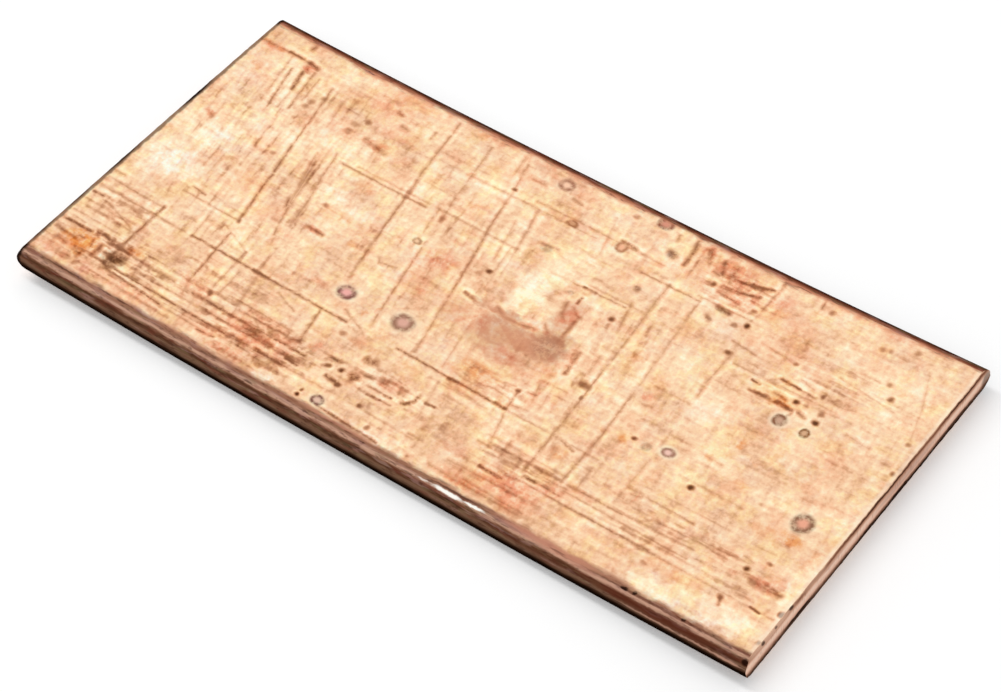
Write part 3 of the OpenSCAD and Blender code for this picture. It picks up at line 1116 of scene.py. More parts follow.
GREY_PLACES = [
    (25.7, -6.4, 0.80, 0.75, 0.75), (-40.9, -19.0, 2.1, 1.5, 0.75), (8.4, -0.4, 2.6, 2.6, 0.38),
    (21.6, 15.3, 1.25, 0.55, 1.0), (11.8, 19.4, 0.95, 0.8, 0.9), (-0.8, 11.8, 1.0, 0.8, 0.5),
    (11.5, 12.6, 0.55, 0.55, 0.75), (-10.3, -15.9, 0.7, 0.45, 0.7), (20.8, 13.4, 0.5, 0.45, 0.6),
    (-40.9, -18.8, 1.1, 0.8, 0.6), (5.6, 7.7, 0.5, 0.4, 0.5),
]
# Pearl places: a pale tone, partly painted highlight at the left end and the near right corner
PEARL_PLACES = [
    (-46.0, -2.5, 4.8, 4.2, 0.8), (-49.0, -0.5, 2.2, 2.2, 0.3), (-43.0, 4.0, 4.2, 2.6, 0.6),
    (-41.0, 8.0, 5.2, 2.6, 0.4), (-26.0, 4.5, 3.0, 2.2, 0.5), (-22.0, 4.0, 3.0, 2.2, 0.4),
    (23.0, 12.4, 3.2, 2.6, 0.5), (-2.5, 7.2, 2.6, 2.2, 0.5), (16.5, -4.5, 1.1, 1.1, 0.5),
    (35.6, -2.0, 1.3, 0.8, 0.5), (1.5, 6.6, 2.6, 1.6, 0.4), (3.6, 21.2, 2.6, 1.6, 0.4),
    (43.0, -21.0, 5.2, 1.6, 0.4), (10.6, 19.6, 1.8, 1.4, 0.5), (-6.0, -12.0, 2.0, 1.0, 0.3),
    (37.0, -20.4, 2.6, 0.8, 0.5), (-2.0, -7.2, 1.4, 2.2, 0.5), (27.8, 1.4, 2.4, 2.2, 0.4),
    (-12.6, -1.6, 2.2, 1.4, 0.35), (-43.0, -21.9, 1.3, 1.0, 0.5), (-47.0, 12.4, 3.4, 4.0, 0.50),
    (43.0, -22.6, 6.4, 1.0, 0.90), (-15.5, -22.6, 3.0, 0.9, 0.80), (-2.2, -22.6, 5.0, 0.9, 0.80),
    (-48.2, -22.6, 2.6, 1.0, 0.80), (-49.6, 16.0, 1.6, 3.0, 0.40),
]
# Where rolling lines crowd together, and where the sheet was rubbed across its grain
BUSY_PLACES = [
    (-20.0, -18.6, 11.0, 4.6, 1.0), (-40.0, -19.0, 12.0, 4.6, 1.0), (-45.0, -12.0, 7.5, 5.0, 0.5),
    (-28.0, -15.0, 9.0, 4.0, 0.5), (36.0, -15.6, 15.0, 3.6, 0.4), (16.0, -17.0, 8.0, 4.2, 0.6),
    (33.5, 8.6, 6.5, 2.8, 0.6), (21.0, 19.0, 6.0, 4.0, 0.7), (-2.5, -16.0, 7.0, 3.0, 0.6),
    (40.0, 13.0, 9.0, 4.0, 0.4), (7.0, -8.0, 6.0, 2.5, 0.5),
]
RUBBED_PLACES = [
    (-38.0, 8.0, 16.0, 12.0, 1.0), (-35.0, -4.0, 15.0, 9.0, 0.8), (-12.0, 6.0, 14.0, 14.0, 0.6),
    (15.0, 2.0, 8.0, 13.0, 0.7), (4.0, -2.0, 9.0, 5.0, 0.7), (18.0, 20.5, 8.0, 4.0, 0.7),
]
clouded = (PALE_PLACES, BROWN_PLACES, STAIN_PLACES, SALMON_PLACES, ORANGE_PLACES, GREY_PLACES, PEARL_PLACES)
print("clouded places:", sum(map(len, clouded)), "busy and rubbed:", len(BUSY_PLACES + RUBBED_PLACES))

# %% Strokes: the points of a line, half width, strength
BLOTS = [
    ([(-43.0, -16.8), (-41.8, -17.2), (-40.0, -17.2)], 0.50, 0.70),
    ([(-49.8, -18.6), (-48.6, -18.9)], 0.50, 0.45), ([(-48.6, -20.0), (-47.2, -20.3)], 0.46, 0.45),
    ([(-47.0, -21.8), (-45.4, -22.0)], 0.50, 0.40), ([(-28.6, -16.2), (-28.3, -16.6)], 0.50, 0.70),
    ([(-16.2, -16.4), (-15.2, -16.0)], 0.50, 0.55), ([(-14.9, -19.0), (-13.4, -19.1)], 0.40, 0.80),
    ([(-18.6, -19.9), (-15.0, -20.1)], 0.50, 0.60), ([(11.3, 19.7), (12.3, 19.1)], 0.80, 0.55),
    ([(11.3, 12.8), (11.7, 12.4)], 0.60, 0.50), ([(20.4, 13.7), (21.0, 13.2)], 0.50, 0.45),
    ([(17.5, 21.8), (18.4, 19.9)], 0.50, 0.55), ([(19.3, 22.0), (19.7, 19.4)], 0.60, 0.50),
    ([(15.3, 22.8), (16.2, 20.6)], 0.50, 0.50), ([(20.6, 20.2), (22.6, 20.4), (24.6, 21.2)], 0.46, 0.65),
    ([(19.4, 18.6), (21.6, 18.7), (23.8, 19.4)], 0.46, 0.60), ([(19.4, 17.5), (22.4, 17.2)], 0.46, 0.50),
    ([(24.9, 24.0), (25.2, 22.0), (25.2, 18.0)], 0.42, 0.30),
    ([(13.2, 23.0), (13.7, 21.0), (13.8, 18.8)], 0.44, 0.50), ([(10.8, 22.4), (11.0, 21.6)], 0.44, 0.45),
    ([(6.2, 6.4), (6.6, 4.6), (7.6, 3.6)], 0.42, 0.50), ([(7.2, 6.0), (8.2, 5.2), (8.9, 5.0)], 0.36, 0.50),
    ([(8.6, 4.2), (8.7, 1.6)], 0.46, 0.55), ([(5.8, 2.2), (6.9, 1.2), (8.4, 1.0), (9.6, 0.4)], 0.50, 0.45),
    ([(0.2, 1.0), (1.4, 0.4), (3.4, 0.3), (5.2, 0.8)], 0.46, 0.45),
    ([(-4.4, 0.8), (-2.9, 0.4)], 0.40, 0.55), ([(-10.9, -16.4), (-8.9, -15.6)], 0.36, 0.40),
    ([(-6.0, -16.0), (-5.2, -15.8)], 0.44, 0.45), ([(32.8, 10.4), (35.0, 10.2)], 0.40, 0.60),
    ([(33.2, 8.2), (34.6, 8.0)], 0.40, 0.45), ([(36.8, 7.2), (37.8, 6.8)], 0.40, 0.55),
    ([(28.2, -12.8), (29.2, -12.6)], 0.40, 0.40), ([(43.0, -13.0), (44.2, -13.2)], 0.36, 0.35),
    ([(46.8, -15.0), (48.4, -15.2)], 0.46, 0.55), ([(50.3, -17.6), (50.5, -17.3)], 0.50, 0.90),
    ([(-26.6, -10.6), (-24.4, -10.7)], 0.46, 0.70), ([(2.0, -10.8), (3.6, -10.7)], 0.50, 0.70),
    ([(8.4, -10.7), (9.6, -10.8)], 0.46, 0.75), ([(17.2, -17.4), (18.6, -17.4)], 0.42, 0.75),
    ([(12.4, -19.0), (14.8, -19.1)], 0.40, 0.70),
    ([(-7.3, -13.7), (-6.9, -14.1), (-6.4, -13.7)], 0.86, 0.80),
    ([(-7.2, -16.7), (-6.9, -17.1), (-6.6, -16.7)], 0.84, 0.95),
    ([(-9.6, -18.4), (-7.6, -18.7)], 0.62, 0.95), ([(-10.9, -16.0), (-9.8, -15.9)], 0.45, 0.65),
    ([(-10.9, -17.4), (-10.2, -17.0)], 0.40, 0.65),
    ([(0.9, -14.7), (0.8, -15.8), (0.2, -16.7), (-0.2, -16.7)], 0.50, 0.85),
    ([(-2.4, -17.0), (-1.6, -16.9)], 0.34, 0.75), ([(2.0, -15.3), (3.2, -15.1)], 0.28, 0.60),
    ([(-4.1, -18.0), (-2.4, -17.8)], 0.30, 0.75),
    ([(-49.5, -17.2), (-47.5, -17.2), (-46.0, -17.0)], 0.38, 0.80),
    ([(-44.3, -16.6), (-43.3, -16.9)], 0.48, 0.90), ([(-43.5, -18.2), (-43.3, -19.9)], 0.65, 0.75),
    ([(-41.6, -18.8), (-40.4, -19.0)], 1.15, 0.62), ([(-42.0, -20.0), (-40.5, -20.3)], 0.42, 0.80),
    ([(-43.2, -17.2), (-41.0, -17.3)], 0.52, 0.65), ([(-47.3, -18.6), (-45.8, -18.4)], 0.45, 0.60),
    ([(-44.9, -18.0), (-44.4, -19.0)], 0.42, 0.55), ([(-50.0, -12.0), (-48.6, -12.0)], 0.34, 0.55),
    ([(-46.2, 20.3), (-44.1, 20.4)], 0.42, 0.65), ([(-43.0, 20.3), (-41.6, 20.0)], 0.60, 0.75),
    ([(-42.8, 19.4), (-42.1, 18.8)], 0.50, 0.60), ([(-42.7, 18.3), (-42.0, 15.6)], 0.46, 0.55),
    ([(-29.3, 13.9), (-25.8, 13.2)], 0.60, 0.50), ([(-25.6, -1.4), (-23.6, -1.6)], 0.50, 0.55),
    ([(20.7, 15.5), (22.4, 15.3)], 0.75, 0.60), ([(30.0, 8.4), (31.0, 8.3)], 0.36, 0.85),
    ([(31.0, 7.1), (33.0, 7.1)], 0.40, 0.65), ([(34.0, 7.3), (36.2, 7.0)], 0.46, 0.65),
    ([(6.4, 9.3), (8.0, 9.3)], 0.36, 0.80), ([(7.1, 7.7), (7.2, 6.8)], 0.40, 0.75),
    ([(5.8, 17.9), (7.9, 17.7)], 0.46, 0.65), ([(47.2, -18.4), (48.3, -18.6)], 0.32, 0.85),
    ([(45.3, -15.6), (49.0, -15.4)], 0.50, 0.45), ([(-1.2, 16.7), (-0.9, 16.5)], 0.40, 0.65),
    ([(-0.3, 16.7), (0.0, 16.5)], 0.40, 0.65), ([(36.3, 6.6), (36.0, 5.9)], 0.34, 0.80),
    ([(-13.9, 4.3), (-13.4, 3.9)], 0.42, 0.60), ([(-6.0, -22.6), (-2.4, -22.8)], 0.30, 0.75),
    ([(0.4, 12.4), (-1.6, 12.2)], 0.42, 0.40), ([(-8.6, 20.1), (-7.0, 20.2)], 0.42, 0.40),
    ([(-2.8, 20.2), (-1.4, 19.9)], 0.42, 0.40), ([(19.4, 20.0), (20.4, 20.2)], 0.60, 0.50),
    ([(17.2, 19.8), (18.2, 19.7)], 0.42, 0.55), ([(-22.9, 19.6), (-22.8, 18.6)], 0.40, 0.50),
    ([(-27.0, 18.2), (-26.0, 18.0)], 0.50, 0.45), ([(-28.8, 20.0), (-28.0, 19.7)], 0.46, 0.45),
    ([(-21.0, -18.2), (-17.6, -18.4)], 0.70, 0.55), ([(43.9, -19.1), (44.2, -20.0)], 0.32, 0.55),
    ([(12.0, -1.8), (12.3, -2.6)], 0.46, 0.55), ([(-47.6, 6.4), (-46.8, 6.0)], 0.46, 0.40),
]
CROSS_STROKES = [
    ([(-37.9, 18.3), (-37.4, 16.0), (-35.7, 7.6)], 0.43, 0.70), ([(-35.8, 8.0), (-34.8, 3.2)], 0.54, 0.90),
    ([(-34.6, 2.6), (-34.2, 0.0), (-32.9, -5.8)], 0.52, 0.85),
    ([(-32.6, -7.8), (-31.7, -15.3)], 0.47, 0.85), ([(-31.9, -15.2), (-31.0, -18.3)], 0.69, 0.55),
    ([(-45.4, 19.8), (-44.1, 13.2)], 0.40, 0.50), ([(-44.2, 18.2), (-42.7, 12.0)], 0.47, 0.75),
    ([(-42.7, 18.6), (-41.9, 15.2)], 0.69, 0.80), ([(-41.9, 15.2), (-41.4, 12.0)], 0.40, 0.50),
    ([(-41.4, 19.2), (-40.2, 12.6)], 0.47, 0.70), ([(-40.2, 18.6), (-39.7, 14.6)], 0.37, 0.50),
    ([(-35.4, 17.8), (-34.3, 12.8)], 0.43, 0.35), ([(-42.7, 2.6), (-42.3, -1.0)], 0.47, 0.60),
    ([(-41.5, 2.4), (-41.0, -2.0)], 0.37, 0.35), ([(-41.6, -9.0), (-41.5, -19.8)], 0.52, 0.95),
    ([(-36.5, -6.2), (-35.9, -10.8)], 0.36, 0.45), ([(-32.6, 8.6), (-30.2, 1.0)], 0.37, 0.50),
    ([(-31.8, 7.4), (-29.9, 0.2)], 0.37, 0.60), ([(-31.0, 6.0), (-29.2, -2.0)], 0.37, 0.55),
    ([(-30.5, 10.0), (-29.5, 5.6), (-28.3, 1.4)], 0.40, 0.58), ([(-28.5, 2.2), (-27.6, -2.6)], 0.55, 0.62),
    ([(-29.8, -0.2), (-28.3, -4.8)], 0.43, 0.65), ([(-30.5, 0.8), (-30.0, -0.5)], 0.57, 0.80),
    ([(-29.2, -9.0), (-28.7, -15.5)], 0.43, 0.60), ([(-27.7, -11.8), (-27.5, -16.0)], 0.37, 0.45),
    ([(-26.5, -8.0), (-25.3, -13.0), (-24.0, -18.3)], 0.47, 0.55),
    ([(-21.5, 22.6), (-20.2, 13.2), (-19.4, 9.6)], 0.52, 0.65),
    ([(-19.4, 9.2), (-18.5, 4.0), (-17.4, -2.0)], 0.54, 0.75), ([(-17.4, -2.4), (-16.8, -5.0)], 0.40, 0.45),
    ([(-15.9, 21.5), (-15.1, 16.5), (-14.4, 12.0), (-13.6, 8.2)], 0.48, 0.55),
    ([(-13.0, 4.6), (-12.0, -0.5), (-10.9, -6.0), (-10.1, -9.5)], 0.47, 0.62),
    ([(-11.6, 22.5), (-11.1, 20.0)], 0.43, 0.40), ([(-10.6, 21.8), (-9.5, 17.3), (-8.2, 10.5)], 0.43, 0.55),
    ([(-8.2, 10.5), (-6.8, 5.0), (-5.5, -1.0)], 0.52, 0.75),
    ([(-5.5, -1.0), (-4.4, -6.0), (-3.6, -9.8)], 0.46, 0.60), ([(-5.1, 16.2), (-3.4, 9.2)], 0.40, 0.50),
    ([(-6.3, 13.2), (-4.6, 6.5)], 0.36, 0.40), ([(-4.4, 10.5), (-3.6, 5.5)], 0.32, 0.38),
    ([(-3.4, 9.0), (-2.6, 5.0)], 0.31, 0.3), ([(-2.6, -3.6), (-2.1, -6.0)], 0.52, 0.40),
    ([(-1.0, -2.5), (0.3, -9.8)], 0.37, 0.45), ([(-16.4, -10.8), (-15.3, -16.2)], 0.47, 0.80),
    ([(1.4, -12.0), (2.7, -18.0)], 0.36, 0.35), ([(3.2, 20.5), (4.2, 17.0), (4.8, 14.8)], 0.36, 0.35),
    ([(13.6, 22.0), (13.8, 18.8)], 0.57, 0.50),
    ([(14.3, 15.2), (14.4, 12.0), (14.9, 7.6), (15.4, 2.0)], 0.52, 0.60),
    ([(12.3, 10.4), (13.5, 5.8)], 0.46, 0.50),
    ([(15.4, 1.0), (15.9, -4.8), (16.3, -11.0), (16.7, -16.8)], 0.48, 0.68),
    ([(14.0, 1.6), (14.4, -1.2)], 0.37, 0.40), ([(18.5, 15.4), (18.7, 12.4)], 0.47, 0.60),
    ([(18.7, 12.4), (19.6, 5.6), (20.2, -1.0)], 0.43, 0.45),
    ([(20.2, -1.0), (20.8, -8.0), (20.9, -15.6)], 0.47, 0.65), ([(25.2, 24.0), (25.2, 22.6)], 0.58, 0.90),
    ([(25.3, 22.5), (25.2, 16.5)], 0.44, 0.25), ([(26.0, 10.4), (26.0, 5.6), (26.3, 2.8)], 0.47, 0.55),
    ([(9.5, -8.2), (9.9, -10.6)], 0.46, 0.75), ([(9.9, -10.6), (11.5, -16.3)], 0.43, 0.55),
    ([(13.1, -14.2), (13.4, -16.4)], 0.43, 0.60), ([(11.8, 0.8), (12.1, -2.8)], 0.57, 0.72),
    ([(10.8, -5.4), (11.5, -8.0)], 0.47, 0.50), ([(12.2, -4.5), (12.9, -8.5)], 0.40, 0.40),
    ([(17.2, -11.0), (18.0, -13.8)], 0.52, 0.40), ([(22.6, -12.2), (22.9, -15.6)], 0.46, 0.55),
    ([(30.3, 23.9), (30.7, 21.9)], 0.47, 0.75), ([(46.0, 20.0), (48.0, 14.8), (49.2, 10.2)], 0.32, 0.35),
    ([(27.1, -7.6), (27.3, -14.6)], 0.40, 0.45), ([(26.8, -3.0), (27.0, -5.5)], 0.36, 0.30),
    ([(33.8, -15.8), (33.1, -18.5)], 0.52, 0.45), ([(-44.2, 23.8), (-44.2, 22.3)], 0.66, 0.80),
    ([(-13.9, -16.0), (-12.6, -18.6)], 0.66, 0.35), ([(-4.0, -15.0), (-3.8, -16.0)], 0.43, 0.50),
    ([(-3.2, -14.8), (-3.0, -16.2)], 0.43, 0.50), ([(-1.6, -15.0), (-1.2, -15.9)], 0.43, 0.50),
    ([(-0.8, -14.9), (-0.6, -15.9)], 0.43, 0.50), ([(15.0, 22.5), (15.8, 20.8)], 0.47, 0.45),
    ([(16.6, 22.2), (17.3, 20.4)], 0.47, 0.50), ([(17.6, 22.0), (18.2, 20.0)], 0.47, 0.5),
    ([(5.9, 6.0), (6.1, 4.8), (6.6, 4.2)], 0.52, 0.40), ([(8.8, 7.0), (8.7, 2.4)], 0.46, 0.45),
]
LONG_STROKES = [
    ([(-43.0, -20.0), (-24.0, -20.2), (-14.0, -20.0)], 0.41, 0.90),
    ([(-30.0, -17.6), (-13.5, -17.5)], 0.46, 0.92), ([(-24.0, -16.4), (-17.0, -16.3)], 0.46, 0.55),
    ([(-27.0, -18.7), (-13.0, -18.8)], 0.41, 0.60), ([(-34.0, -16.2), (-29.0, -16.4)], 0.46, 0.50),
    ([(-26.0, -21.5), (-23.8, -21.3)], 0.46, 0.80), ([(-50.0, -13.4), (-43.5, -13.2)], 0.34, 0.40),
    ([(-49.0, -14.4), (-46.0, -14.2)], 0.41, 0.45), ([(-50.0, -18.9), (-46.0, -19.0)], 0.41, 0.50),
    ([(-40.0, -21.9), (-30.0, -22.2)], 0.39, 0.45), ([(-47.0, -11.4), (-43.0, -11.4)], 0.39, 0.40),
    ([(-12.0, -15.8), (-9.4, -15.9)], 0.41, 0.50), ([(-5.0, -20.0), (4.0, -20.2)], 0.34, 0.30),
    ([(0.0, -11.9), (8.0, -12.0)], 0.37, 0.35), ([(11.0, -17.0), (20.0, -16.6)], 0.48, 0.55),
    ([(10.0, -16.2), (22.0, -16.3)], 0.39, 0.45), ([(9.0, -20.2), (21.0, -20.0)], 0.46, 0.45),
    ([(7.5, -22.0), (20.0, -22.2)], 0.51, 0.50), ([(22.0, -15.7), (34.0, -15.5)], 0.39, 0.50),
    ([(25.0, -18.2), (34.0, -18.2)], 0.41, 0.75), ([(30.0, -17.2), (46.0, -17.2)], 0.34, 0.35),
    ([(36.0, -14.0), (44.0, -13.6)], 0.34, 0.40), ([(29.0, -11.0), (40.0, -11.0)], 0.32, 0.30),
    ([(-6.0, 17.4), (9.0, 17.4)], 0.41, 0.45), ([(-12.0, 16.4), (3.0, 16.4)], 0.41, 0.45),
    ([(2.0, 9.0), (6.0, 9.2)], 0.32, 0.35), ([(-36.0, -10.6), (-12.8, -10.7)], 0.41, 0.80),
    ([(-5.5, -10.6), (9.8, -10.8)], 0.44, 0.85), ([(9.8, -10.8), (22.5, -10.9)], 0.29, 0.35),
    ([(17.6, -11.0), (19.5, -11.4)], 0.38, 0.70), ([(-29.0, 9.0), (-16.5, 9.0)], 0.41, 0.62),
    ([(-27.0, 9.7), (-3.5, 9.7)], 0.33, 0.42), ([(0.0, 17.5), (5.5, 17.4)], 0.48, 0.50),
    ([(8.0, 17.5), (12.0, 17.3)], 0.37, 0.4), ([(-20.0, 16.3), (0.0, 16.4)], 0.44, 0.30),
    ([(-19.0, 12.4), (-14.0, 12.3)], 0.44, 0.32), ([(10.5, 15.0), (18.3, 15.0)], 0.37, 0.60),
    ([(18.0, 15.7), (25.0, 15.8)], 0.34, 0.50), ([(5.0, 9.1), (12.0, 9.4)], 0.37, 0.60),
    ([(7.0, 9.9), (14.0, 9.9)], 0.33, 0.4), ([(-50.5, 20.1), (-46.0, 20.3), (-43.0, 20.2)], 0.60, 0.60),
    ([(21.0, 20.2), (24.8, 21.3)], 0.44, 0.6), ([(20.5, 18.6), (23.9, 19.3)], 0.44, 0.60),
    ([(20.0, 17.2), (23.0, 17.6)], 0.44, 0.50), ([(19.3, 18.3), (21.5, 18.5)], 0.44, 0.5),
    ([(32.6, 10.3), (37.3, 10.0)], 0.41, 0.70), ([(27.0, 9.3), (40.0, 9.4)], 0.34, 0.45),
    ([(30.5, 7.0), (33.0, 7.1), (36.0, 6.9)], 0.52, 0.80), ([(28.0, 13.7), (32.6, 13.1)], 0.34, 0.45),
    ([(38.0, 14.1), (45.5, 13.0)], 0.33, 0.38), ([(25.0, 12.1), (28.2, 11.7)], 0.37, 0.50),
    ([(34.5, 11.5), (36.5, 11.0)], 0.33, 0.45), ([(43.0, 7.3), (46.0, 7.0)], 0.44, 0.40),
    ([(-41.5, -5.6), (-33.0, -5.6)], 0.34, 0.50), ([(-41.0, -4.4), (-39.0, -4.7)], 0.44, 0.7),
    ([(-36.0, -7.5), (-34.0, -7.5)], 0.48, 0.40), ([(-33.8, -7.0), (-29.0, -9.0)], 0.30, 0.35),
    ([(-50.0, -8.0), (-48.7, -8.0)], 0.44, 0.6), ([(-49.0, -9.2), (-41.5, -9.2)], 0.34, 0.45),
    ([(-50.0, -10.7), (-37.0, -10.7)], 0.33, 0.40), ([(-50.0, -12.1), (-48.4, -12.0)], 0.44, 0.70),
    ([(-48.0, -12.3), (-42.5, -14.0)], 0.33, 0.50), ([(-50.0, -15.6), (-43.0, -15.5)], 0.37, 0.45),
    ([(-50.0, -17.3), (-46.0, -17.2)], 0.52, 0.80), ([(-42.8, -17.2), (-33.0, -17.4)], 0.48, 0.50),
    ([(-43.5, -20.0), (-24.0, -20.2)], 0.44, 0.75), ([(-40.5, -20.6), (-32.0, -21.1)], 0.38, 0.90),
    ([(-32.0, -21.2), (-25.0, -21.3)], 0.34, 0.50), ([(-40.0, -18.8), (-26.0, -18.9)], 0.34, 0.32),
    ([(-29.0, -17.5), (-13.5, -17.5)], 0.45, 0.90), ([(-23.0, -20.0), (-14.5, -20.1)], 0.52, 0.80),
    ([(-14.5, -20.1), (-6.5, -20.0)], 0.30, 0.4), ([(-15.0, -19.0), (-13.2, -19.1)], 0.38, 0.80),
    ([(-29.0, -16.0), (-25.0, -16.1)], 0.37, 0.50), ([(-25.0, -15.3), (-17.0, -15.4)], 0.37, 0.45),
    ([(-22.0, -18.5), (-14.0, -18.6)], 0.66, 0.40), ([(-22.0, -11.7), (-18.8, -12.9)], 0.33, 0.50),
    ([(-14.0, -9.3), (-10.2, -10.9)], 0.38, 0.50), ([(-8.0, -22.4), (1.0, -22.9)], 0.38, 0.85),
    ([(-4.5, -17.8), (-1.0, -17.8)], 0.38, 0.60), ([(-4.5, -16.9), (-1.5, -16.9)], 0.38, 0.50),
    ([(-16.0, -0.5), (-15.4, -1.2), (-13.5, -0.8)], 0.38, 0.50), ([(-4.4, 0.8), (-2.4, 0.3)], 0.36, 0.55),
    ([(0.3, 0.9), (1.2, 0.3), (2.2, 0.1), (4.0, 0.4), (5.5, 0.6)], 0.48, 0.40),
    ([(2.0, -15.1), (3.3, -15.2)], 0.34, 0.60), ([(23.0, -18.2), (35.0, -18.3)], 0.38, 0.65),
    ([(35.0, -18.3), (50.0, -18.5)], 0.30, 0.42), ([(22.5, -15.6), (29.0, -15.7)], 0.41, 0.65),
    ([(22.0, -16.6), (38.0, -16.8)], 0.34, 0.48), ([(27.5, -12.2), (36.0, -12.4)], 0.34, 0.50),
    ([(32.0, -14.4), (39.0, -14.2)], 0.34, 0.50), ([(32.5, -15.5), (38.0, -15.4)], 0.33, 0.45),
    ([(45.0, -15.3), (49.0, -15.5)], 0.48, 0.50), ([(45.0, -17.6), (47.0, -17.7)], 0.37, 0.50),
    ([(31.0, -7.6), (39.0, -7.7)], 0.33, 0.38), ([(31.5, -3.7), (34.0, -3.9)], 0.37, 0.40),
    ([(10.5, -14.8), (21.0, -14.8)], 0.33, 0.40), ([(11.0, -15.6), (20.8, -15.6)], 0.34, 0.50),
    ([(17.5, -17.3), (20.5, -17.4)], 0.44, 0.70), ([(12.3, -18.9), (15.3, -19.0)], 0.44, 0.75),
    ([(17.5, -18.1), (23.0, -18.2)], 0.37, 0.60), ([(3.2, -19.8), (5.0, -19.8)], 0.33, 0.50),
    ([(12.0, -21.5), (20.0, -21.7)], 0.34, 0.45), ([(7.4, -7.7), (8.8, -7.4)], 0.36, 0.55),
    ([(6.4, -9.1), (9.4, -9.3)], 0.40, 0.48), ([(10.4, -7.4), (11.5, -7.2)], 0.40, 0.60),
    ([(2.8, -9.9), (6.4, -9.8)], 0.38, 0.45), ([(2.0, -11.5), (6.2, -11.7)], 0.46, 0.42),
    ([(10.6, -5.0), (14.0, -4.9)], 0.34, 0.42), ([(10.2, -9.9), (12.0, -9.6)], 0.36, 0.50),
]
print("strokes:", len(CROSS_STROKES), "across and", len(LONG_STROKES), "along; blots:", len(BLOTS))

# %% Dried drops and pits
# x, y, radius in x, radius in y, colour of the ring, colour inside it, strength of the pale halo
DROPS = [
    (-15.6, -7.1, 1.32, 1.08, (140, 91, 81), (244, 179, 169), 0.4),
    (-7.4, -7.1, 1.55, 1.35, (165, 120, 96), (227, 175, 155), 0.3),
    (45.7, -5.9, 1.32, 1.45, (144, 102, 77), (241, 173, 144), 0.3),
    (28.2, -5.7, 0.92, 0.72, (171, 125, 104), (246, 202, 184), 0.7),
    (35.7, 5.1, 0.92, 0.92, (144, 97, 70), (208, 167, 140), 0.6),
    (39.0, 5.0, 0.66, 0.76, (142, 91, 49), (221, 175, 136), 0.3),
    (-4.8, 21.6, 1.10, 1.00, (173, 118, 91), (255, 209, 176), 0.2),
    (8.5, 23.0, 1.15, 0.95, (144, 83, 62), (221, 152, 127), 0.0),
    (-0.6, 16.8, 0.80, 0.55, (177, 118, 81), (214, 158, 117), 0.0),
    (6.3, 17.0, 0.85, 0.95, (192, 131, 94), (248, 188, 150), 0.0),
    (-8.2, -21.8, 0.90, 0.76, (129, 85, 72), (235, 196, 172), 0.4),
    (-13.9, 4.1, 0.65, 0.52, (192, 146, 110), (248, 207, 165), 0.0),
]
# x, y, reach in x, reach in y, strength
PITS = [
    (-4.1, 5.0, 0.60, 0.53, 0.9), (-9.5, 17.4, 0.62, 0.44, 0.8), (5.0, 22.0, 0.69, 0.56, 0.45),
    (18.4, 18.2, 0.56, 0.65, 0.75), (24.5, 17.2, 0.56, 0.49, 0.60), (25.1, 14.9, 0.60, 0.60, 0.95),
    (23.8, 14.2, 0.62, 0.47, 0.55), (25.5, 10.3, 0.69, 0.56, 0.80), (11.8, 7.0, 0.69, 0.62, 0.80),
    (24.0, -6.1, 0.53, 0.44, 0.8), (33.0, -8.4, 0.65, 0.56, 1.0), (35.8, 8.3, 0.56, 0.56, 0.9),
    (39.2, 6.9, 0.69, 0.62, 0.95), (39.1, 8.3, 0.62, 0.56, 0.55), (43.1, 16.3, 0.60, 0.60, 0.55),
    (44.3, 14.5, 0.60, 0.60, 0.65), (43.3, 22.1, 0.56, 0.60, 0.45), (39.6, 20.4, 0.56, 0.56, 0.45),
    (40.6, 20.7, 0.44, 0.49, 0.40), (32.0, 22.0, 0.56, 0.62, 0.50), (32.8, 13.1, 0.44, 0.49, 0.50),
    (37.9, 10.6, 0.40, 0.53, 0.65), (49.3, 9.8, 0.53, 0.47, 0.6), (50.0, 5.3, 0.47, 0.60, 0.6),
    (44.1, -14.3, 0.56, 0.60, 0.95), (45.8, -12.5, 0.53, 0.49, 0.60), (50.4, -17.5, 0.60, 0.60, 0.9),
    (43.8, -19.0, 0.62, 0.53, 0.7), (34.6, -19.8, 0.65, 0.44, 0.40), (50.4, -21.8, 0.47, 0.40, 0.7),
    (-10.6, -22.4, 0.47, 0.44, 1.0), (-10.6, -21.6, 0.38, 0.40, 0.7), (-1.2, -21.8, 0.53, 0.47, 0.6),
    (-3.8, -19.8, 0.53, 0.47, 0.7), (-30.7, 16.3, 0.72, 0.62, 0.6), (-38.6, 15.0, 0.78, 0.69, 0.45),
    (-38.7, 14.0, 0.72, 0.62, 0.35), (-32.0, 15.2, 0.94, 0.72, 0.35), (-31.9, 13.7, 0.94, 0.72, 0.4),
    (-37.6, 16.3, 0.69, 0.62, 0.5), (-43.0, 9.0, 0.94, 0.72, 0.25), (-13.7, 8.6, 0.65, 0.78, 0.45),
    (-19.4, 9.0, 0.69, 0.72, 0.35), (-19.6, 9.9, 0.62, 0.53, 0.35), (-8.7, -16.8, 0.56, 0.56, 0.9),
    (-10.4, -17.1, 0.62, 0.53, 0.6), (-7.8, -18.8, 0.47, 0.47, 0.8), (-1.2, -15.4, 0.56, 0.78, 0.4),
    (-3.9, -15.5, 0.78, 0.78, 0.4), (9.4, -7.8, 0.53, 0.53, 0.75), (-28.4, -16.3, 0.56, 0.49, 0.7),
    (-12.0, -12.3, 0.72, 0.56, 0.5), (-26.3, 2.4, 0.65, 0.53, 0.5), (-36.9, 5.5, 0.53, 0.49, 0.4),
    (15.0, -2.9, 1.17, 0.86, 0.75), (15.8, -4.6, 0.40, 0.53, 0.6), (8.9, 1.0, 0.56, 0.62, 0.5),
    (-5.0, 4.0, 0.78, 0.62, 0.4),
]
print("drops:", len(DROPS), "pits:", len(PITS))


# %% [markdown]
# ### Places that materials read
# Marks on the upper face go by the flat sheet, so they read the object's own coordinates with the height left
# out. The rim and the cuts go by the measures that the mesh carries.

